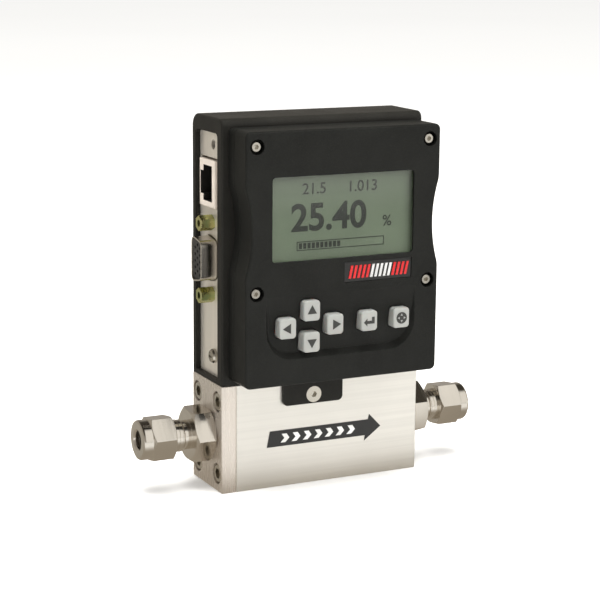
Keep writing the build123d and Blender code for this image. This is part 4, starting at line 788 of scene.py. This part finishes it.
class FLOW_OT_add_key_symbols(bpy.types.Operator):
    """Print the arrows, the return sign and the menu wheel on the keys"""

    bl_idname = "flow.add_key_symbols"
    bl_label = "Add key symbols"

    depth = 0.05 * MM
    sink = 0.01 * MM
    symbol_radius = 2.05 * MM
    rounding = 0.12 * MM
    line = 1.05 * MM
    shaft = 1.75 * MM
    rise = 1.3 * MM
    corner_right = 1.4 * MM
    corner_drop = 0.45 * MM
    head_spread = 2.6
    head_length = 1.35 * MM
    petals = 4
    petal_circle = 1.05 * MM
    petal_radius = 0.52 * MM

    def face_of(self, key):
        """The middle of a key's face."""
        low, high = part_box(key)
        return Vector(((low.x + high.x) / 2, low.y + self.sink, (low.z + high.z) / 2))

    def finish_symbol(self, piece, key):
        """Thicken a key's dark symbol and let it ride on the key."""
        thicken(self.depth)
        finish_piece(piece, key + "_symbol", key, "key_symbol")

    def triangle(self, key, turned):
        """A triangle with slightly rounded corners that points along its turn."""
        piece = start_disc(self.face_of(key), self.symbol_radius, 3, -math.radians(turned - 90))
        bpy.ops.mesh.bevel(offset=self.rounding, segments=2, affect="VERTICES")
        bpy.ops.mesh.select_all(action="SELECT")
        self.finish_symbol(piece, key)

    def return_sign(self, key):
        """An arrow to the left whose shaft turns up at its right end."""
        side, near = 0.4 * self.line, 0.1 * self.line
        corner = self.face_of(key) + Vector((self.corner_right, 0.0, -self.corner_drop))
        piece = start_plane(corner, self.line, self.line)
        select_where(piece, "EDGE", lambda m: m.x < corner.x - side)
        extrude(-self.shaft, 0, 0)
        select_where(piece, "EDGE", lambda m: m.z > corner.z + side
                     and abs(m.x - corner.x) < near)
        extrude(0, 0, self.rise)
        tip_x = corner.x - self.shaft - self.line / 2
        select_where(piece, "EDGE", lambda m: abs(m.x - tip_x) < near)
        extrude(0, 0, 0)
        bpy.ops.transform.resize(value=(1, 1, self.head_spread))
        extrude(-self.head_length, 0, 0)
        bpy.ops.mesh.merge(type="CENTER")
        bpy.ops.mesh.select_all(action="SELECT")
        self.finish_symbol(piece, key)

    def menu_wheel(self, key):
        """A dark disc with light petals."""
        middle = self.face_of(key)
        self.finish_symbol(start_disc(middle, self.symbol_radius, 48), key)
        for place in range(self.petals):
            angle = math.tau * place / self.petals
            petal = middle + Vector((math.sin(angle), 0, math.cos(angle))) * self.petal_circle
            petal.y -= self.depth
            piece = start_disc(petal, self.petal_radius, 3, angle)
            thicken(self.depth / 2)
            finish_piece(piece, f"{key}_petal_{place + 1}", key, "key_grey")

    def execute(self, context):
        for key, turned in ARROW_KEYS.items():
            self.triangle(key, turned)
        self.return_sign("key_enter")
        self.menu_wheel("key_menu")
        return {"FINISHED"}


class FLOW_OT_add_flow_marks(bpy.types.Operator):
    """Print white chevrons along the flow arrow on the block"""

    bl_idname = "flow.add_flow_marks"
    bl_label = "Add flow marks"

    count = 7
    pitch = 4.3 * MM
    first_place = -16.2 * MM
    half_height = 1.55 * MM
    width = 1.9 * MM
    lean = 1.5 * MM
    back_share = 0.7
    depth = 0.03 * MM

    def execute(self, context):
        low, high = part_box("flow_arrow")
        middle = (low + high) / 2
        half = self.half_height
        piece = start_plane((middle.x + self.first_place, low.y, middle.z - half / 2),
                            self.width, half)
        select_where(piece, "EDGE", lambda m: m.z > middle.z - 0.1 * half)
        bpy.ops.transform.translate(value=(self.lean, 0, 0))
        extrude(-self.back_share * self.lean, 0, half)
        bpy.ops.mesh.select_all(action="SELECT")
        thicken(self.depth)
        repeat_along(piece, self.count, self.pitch)
        finish_piece(piece, "flow_chevrons", HOUSE, "white_ink")
        return {"FINISHED"}


class FLOW_OT_add_badge(bpy.types.Operator):
    """Raise plain slanted stripes on the badge plate"""

    bl_idname = "flow.add_badge"
    bl_label = "Add badge stripes"

    rows = (("badge_stripes_left", "badge_warm", 5), ("badge_stripes_middle", "badge_silver", 5),
            ("badge_stripes_right", "badge_warm", 4))
    height = 0.25 * MM
    margin = 1.0 * MM
    margins = 2.5
    stripe_share = 0.56
    tall_share = 0.66
    slant = 0.22
    edge = 0.06 * MM

    def stripes(self, name, finish, place, count, pitch, tall):
        """A row of slanted bars, the first of them at a place."""
        bpy.ops.mesh.primitive_cube_add(size=1.0, location=place)
        piece = bpy.context.object
        piece.scale = (pitch * self.stripe_share, self.height, tall)
        open_for_edit(piece)
        select_where(piece, "VERT", lambda m: m.z > place[2])
        bpy.ops.transform.translate(value=(self.slant * tall, 0, 0))
        bpy.ops.mesh.select_all(action="SELECT")
        bpy.ops.mesh.bevel(offset=self.edge, segments=2)
        bpy.ops.object.mode_set(mode="OBJECT")
        repeat_along(piece, count, pitch)
        finish_piece(piece, name, HOUSE, finish)

    def execute(self, context):
        low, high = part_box("badge_plate")
        total = sum(count for name, finish, count in self.rows)
        pitch = (high.x - low.x - self.margins * self.margin) / total
        tall = (high.z - low.z) * self.tall_share
        left = low.x + self.margin
        for name, finish, count in self.rows:
            place = (left + pitch / 2, low.y - self.height / 2, (low.z + high.z) / 2)
            self.stripes(name, finish, place, count, pitch, tall)
            left += count * pitch
        return {"FINISHED"}


class FLOW_OT_add_threads(bpy.types.Operator):
    """Raise the visible turns of thread beside each compression nut"""

    bl_idname = "flow.add_threads"
    bl_label = "Add fitting threads"

    pitch = 1.27 * MM
    crest = 0.22 * MM
    major_radius = 5.5 * MM
    turns = 2
    lead_in = 0.55
    steps = 64
    weld = 0.001 * MM
    smooth_angle = 35

    def thread(self, name, nut, side):
        """A helical ridge beside a nut: side is -1 for the inlet and 1 for the outlet."""
        low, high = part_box(nut)
        inner = high.x if side < 0 else low.x
        start = inner - side * (self.turns + self.lead_in) * self.pitch
        low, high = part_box("inlet_fitting_body")
        bpy.ops.mesh.primitive_circle_add(vertices=3, radius=self.crest, fill_type="NOTHING",
                                          location=(0, 0, 0), rotation=UPRIGHT)
        piece = bpy.context.object
        open_for_edit(piece)
        bpy.ops.transform.translate(value=(start, 0.0, self.major_radius))
        bpy.ops.object.mode_set(mode="OBJECT")
        piece.location.z = (low.z + high.z) / 2
        apply_modifier(piece, "SCREW", axis="X", angle=2 * math.pi, screw_offset=side * self.pitch,
                       iterations=self.turns, steps=self.steps, render_steps=self.steps,
                       use_merge_vertices=False)
        bpy.ops.object.mode_set(mode="EDIT")
        bpy.ops.mesh.select_all(action="SELECT")
        bpy.ops.mesh.remove_doubles(threshold=self.weld)
        bpy.ops.mesh.fill_holes(sides=4)
        bpy.ops.mesh.select_all(action="SELECT")
        bpy.ops.mesh.normals_make_consistent(inside=False)
        bpy.ops.object.mode_set(mode="OBJECT")
        bpy.ops.object.shade_smooth_by_angle(angle=math.radians(self.smooth_angle))
        finish_piece(piece, name, HOUSE, "polished_steel")

    def execute(self, context):
        self.thread("inlet_thread", "inlet_nut", -1)
        self.thread("outlet_thread", "outlet_nut", 1)
        return {"FINISHED"}


# Stage

def add_background(tree, light, strength):
    """A background shader with a strength."""
    node = tree.nodes.new("ShaderNodeBackground")
    node.inputs["Strength"].default_value = strength
    if isinstance(light, bpy.types.NodeSocket):
        tree.links.new(light, node.inputs["Color"])
    else:
        node.inputs["Color"].default_value = (*light, 1.0)
    return node.outputs[0]


def add_shader_mix(tree, factor, first, second):
    """Mix two shaders. It returns the result socket."""
    node = tree.nodes.new("ShaderNodeMixShader")
    for socket, value in zip(node.inputs, (factor, first, second)):
        tree.links.new(value, socket)
    return node.outputs[0]


def add_lobe(tree, direction, aim, inner, outer):
    """How far a direction lies within a cone: 1 inside the inner angle, 0 past the outer one."""
    dot = tree.nodes.new("ShaderNodeVectorMath")
    dot.operation = "DOT_PRODUCT"
    tree.links.new(direction, dot.inputs[0])
    dot.inputs[1].default_value = Vector(aim).normalized()
    return add_range(tree, dot.outputs["Value"], math.cos(math.radians(outer)),
                     math.cos(math.radians(inner)))


class FLOW_OT_build_stage(bpy.types.Operator):
    """Lay the floor, hang the soft lights and set the camera"""

    bl_idname = "flow.build_stage"
    bl_label = "Build stage"

    floor_size = 60.0
    back_zone = (0.015, 0.06)
    left_zone = (-0.14, -0.07, 1.0, 0.0)
    front_zone = (-0.048, -0.014, 1.0, 0.0)
    far_zone = (-0.38, -0.25, 1.0, 0.0)
    end_zone = (-0.72, -0.52)
    # Painted glow of the floor for the camera: from and to distance in metres, then the glow at
    # each.
    painted_glow_zone = (0.2, 2.5, 0.22, 0.46)
    sky_zone = (0.30, 0.75)
    low_sky = (0.38, 0.35, 0.31)
    high_sky = (0.055, 0.048, 0.038)
    left_lobe = ((-0.75, 0.60, 0.10), 25.0, 60.0, (0.40, 0.365, 0.31))
    front_lobe = ((0.40, -0.82, 0.36), 33.0, 52.0, (1.0, 0.97, 0.91))

    def floor(self, stage):
        """A very large pale floor with painted light: for the camera it glows more further from the
        part, and polished metal sees it black, glowing in painted reflection tones by zone.
        """
        bpy.ops.mesh.primitive_plane_add(size=self.floor_size, location=(0.0, 0.0, 0.0))
        floor = bpy.context.object
        floor.name = "floor"
        finish = Finish("studio_floor", roughness=0.9, Specular_IOR_Level=0.0)
        tree = finish.tree
        rays = tree.nodes.new("ShaderNodeLightPath")
        mirrored = rays.outputs["Is Glossy Ray"]
        grain = finish.group("grain", Scale=40.0, Tone_Scale=2.0)
        pale = finish.mix(grain.outputs["Tone"], tinted(stage.floor, 0.985), stage.floor)
        # Seen in polished metal the floor is black, and only its painted reflection tones show.
        finish.feed("Base Color", finish.mix(mirrored, pale, (0.0, 0.0, 0.0)))
        # Painted reflection tones by zone: painted shade under the part, lighter behind and to the
        # left, a painted bright tone just before the part and far off, darker between.
        parts = tree.nodes.new("ShaderNodeSeparateXYZ")
        tree.links.new(finish.place, parts.inputs[0])
        across, along = parts.outputs[0], parts.outputs[1]
        away = add_math(tree, "MAXIMUM", add_range(tree, along, *self.back_zone),
                        add_range(tree, across, *self.left_zone))
        far = add_math(tree, "MULTIPLY", add_range(tree, along, *self.far_zone),
                       add_range(tree, along, *self.end_zone))
        painted_reflection_near = finish.mix(away, stage.painted_reflection_below, stage.painted_reflection_behind)
        painted_reflection_front = finish.mix(far, stage.painted_reflection_before, stage.painted_reflection_far)
        painted_reflection = finish.mix(add_range(tree, along, *self.front_zone), painted_reflection_near, painted_reflection_front)
        finish.feed("Emission Color", finish.mix(mirrored, (1.0, 0.995, 0.985), painted_reflection))
        # Painted glow: seen by the camera the floor also glows, weaker near the part and stronger
        # far off, on top of its lit colour; in polished metal it glows with the painted reflection
        # tones.
        distance = tree.nodes.new("ShaderNodeVectorMath")
        distance.operation = "LENGTH"
        tree.links.new(finish.place, distance.inputs[0])
        painted_glow = add_range(tree, distance.outputs["Value"], *self.painted_glow_zone)
        seen = add_math(tree, "MULTIPLY", rays.outputs["Is Camera Ray"], painted_glow)
        finish.feed("Emission Strength", add_math(tree, "ADD", seen, mirrored))
        floor.data.materials.append(finish.material)

    def softbox(self, name, place, target, size, power, tint):
        """A square area light that no camera sees."""
        lamp = bpy.data.lights.new(name, "AREA")
        lamp.shape = "SQUARE"
        lamp.size = size
        lamp.energy = power
        lamp.color = tint
        light = bpy.data.objects.new(name, lamp)
        bpy.context.scene.collection.objects.link(light)
        light.location = place
        light.rotation_euler = (Vector(target) - Vector(place)).to_track_quat("-Z", "Y").to_euler()
        light.visible_camera = False
        light.visible_glossy = False

    def room(self, stage):
        """Even light for matt surfaces, and a studio to mirror for polished ones."""
        world = bpy.data.worlds.new("studio_room")
        bpy.context.scene.world = world
        world.use_nodes = True
        tree = world.node_tree
        tree.nodes.clear()
        direction = tree.nodes.new("ShaderNodeTexCoord").outputs["Generated"]
        parts = tree.nodes.new("ShaderNodeSeparateXYZ")
        tree.links.new(direction, parts.inputs[0])
        studio = add_mix(tree, add_range(tree, parts.outputs[2], *self.sky_zone), self.low_sky,
                         self.high_sky)
        for aim, inner, outer, tint in (self.left_lobe, self.front_lobe):
            studio = add_mix(tree, add_lobe(tree, direction, aim, inner, outer), studio, tint)
        rays = tree.nodes.new("ShaderNodeLightPath")
        unseen = add_shader_mix(tree, rays.outputs["Is Glossy Ray"],
                                add_background(tree, (1.0, 0.99, 0.97), stage.ambient),
                                add_background(tree, studio, 1.0))
        seen = add_background(tree, (1.0, 1.0, 1.0), 1.0)
        out = tree.nodes.new("ShaderNodeOutputWorld")
        tree.links.new(add_shader_mix(tree, rays.outputs["Is Camera Ray"], unseen, seen),
                       out.inputs["Surface"])

    def camera(self, stage):
        """The camera at the photograph's viewing angle."""
        data = bpy.data.cameras.new("camera")
        data.lens = stage.lens
        data.sensor_width = 36.0
        data.shift_x, data.shift_y = stage.shift
        data.clip_start = 0.01
        data.clip_end = 200.0
        camera = bpy.data.objects.new("camera", data)
        bpy.context.scene.collection.objects.link(camera)
        camera.location = stage.camera_place
        camera.rotation_euler = stage.camera_turn
        bpy.context.scene.camera = camera

    def execute(self, context):
        stage = context.scene.flow_stage
        self.floor(stage)
        middle = (cad_low + cad_high) / 2
        self.softbox("front_softbox", (0.55, -1.15, 0.85), middle, 1.3, stage.key_power,
                     (1.0, 0.985, 0.96))
        self.softbox("top_softbox", (-0.05, -0.05, 1.15), middle, 0.8, stage.top_power,
                     (1.0, 0.98, 0.95))
        self.room(stage)
        self.camera(stage)
        context.scene.view_settings.view_transform = "Standard"
        return {"FINISHED"}


class FLOW_PT_panel(bpy.types.Panel):
    """The controller's looks, one step to a button"""

    bl_label = "Flow controller"
    bl_idname = "FLOW_PT_panel"
    bl_space_type = "VIEW_3D"
    bl_region_type = "UI"
    bl_category = "Flow controller"

    def draw(self, context):
        for settings in (context.scene.flow_finish, context.scene.flow_display,
                         context.scene.flow_stage):
            box = self.layout.box()
            for name in settings.__annotations__:
                box.prop(settings, name)
        for operator in OPERATORS:
            self.layout.operator(operator.bl_idname)


OPERATORS = (FLOW_OT_dress_steel, FLOW_OT_dress_plastic, FLOW_OT_add_reading, FLOW_OT_add_bar,
             FLOW_OT_add_key_symbols, FLOW_OT_add_flow_marks, FLOW_OT_add_badge,
             FLOW_OT_add_threads, FLOW_OT_build_stage)
SETTINGS = {"flow_finish": FlowFinishSettings, "flow_display": FlowDisplaySettings,
            "flow_stage": FlowStageSettings}
CLASSES = (*SETTINGS.values(), *OPERATORS, FLOW_PT_panel)


def register():
    """Add the settings, operators and panel."""
    for entry in CLASSES:
        bpy.utils.register_class(entry)
    for name, kind in SETTINGS.items():
        setattr(bpy.types.Scene, name, bpy.props.PointerProperty(type=kind))


def unregister():
    """Take the panel, operators and settings away again."""
    for name in SETTINGS:
        delattr(bpy.types.Scene, name)
    for entry in reversed(CLASSES):
        bpy.utils.unregister_class(entry)


def main():
    """Dress the frame, add the pieces and the stage."""
    register()
    for operator in OPERATORS:
        group, name = operator.bl_idname.split(".")
        getattr(getattr(bpy.ops, group), name)()


if __name__ == "__main__":
    main()
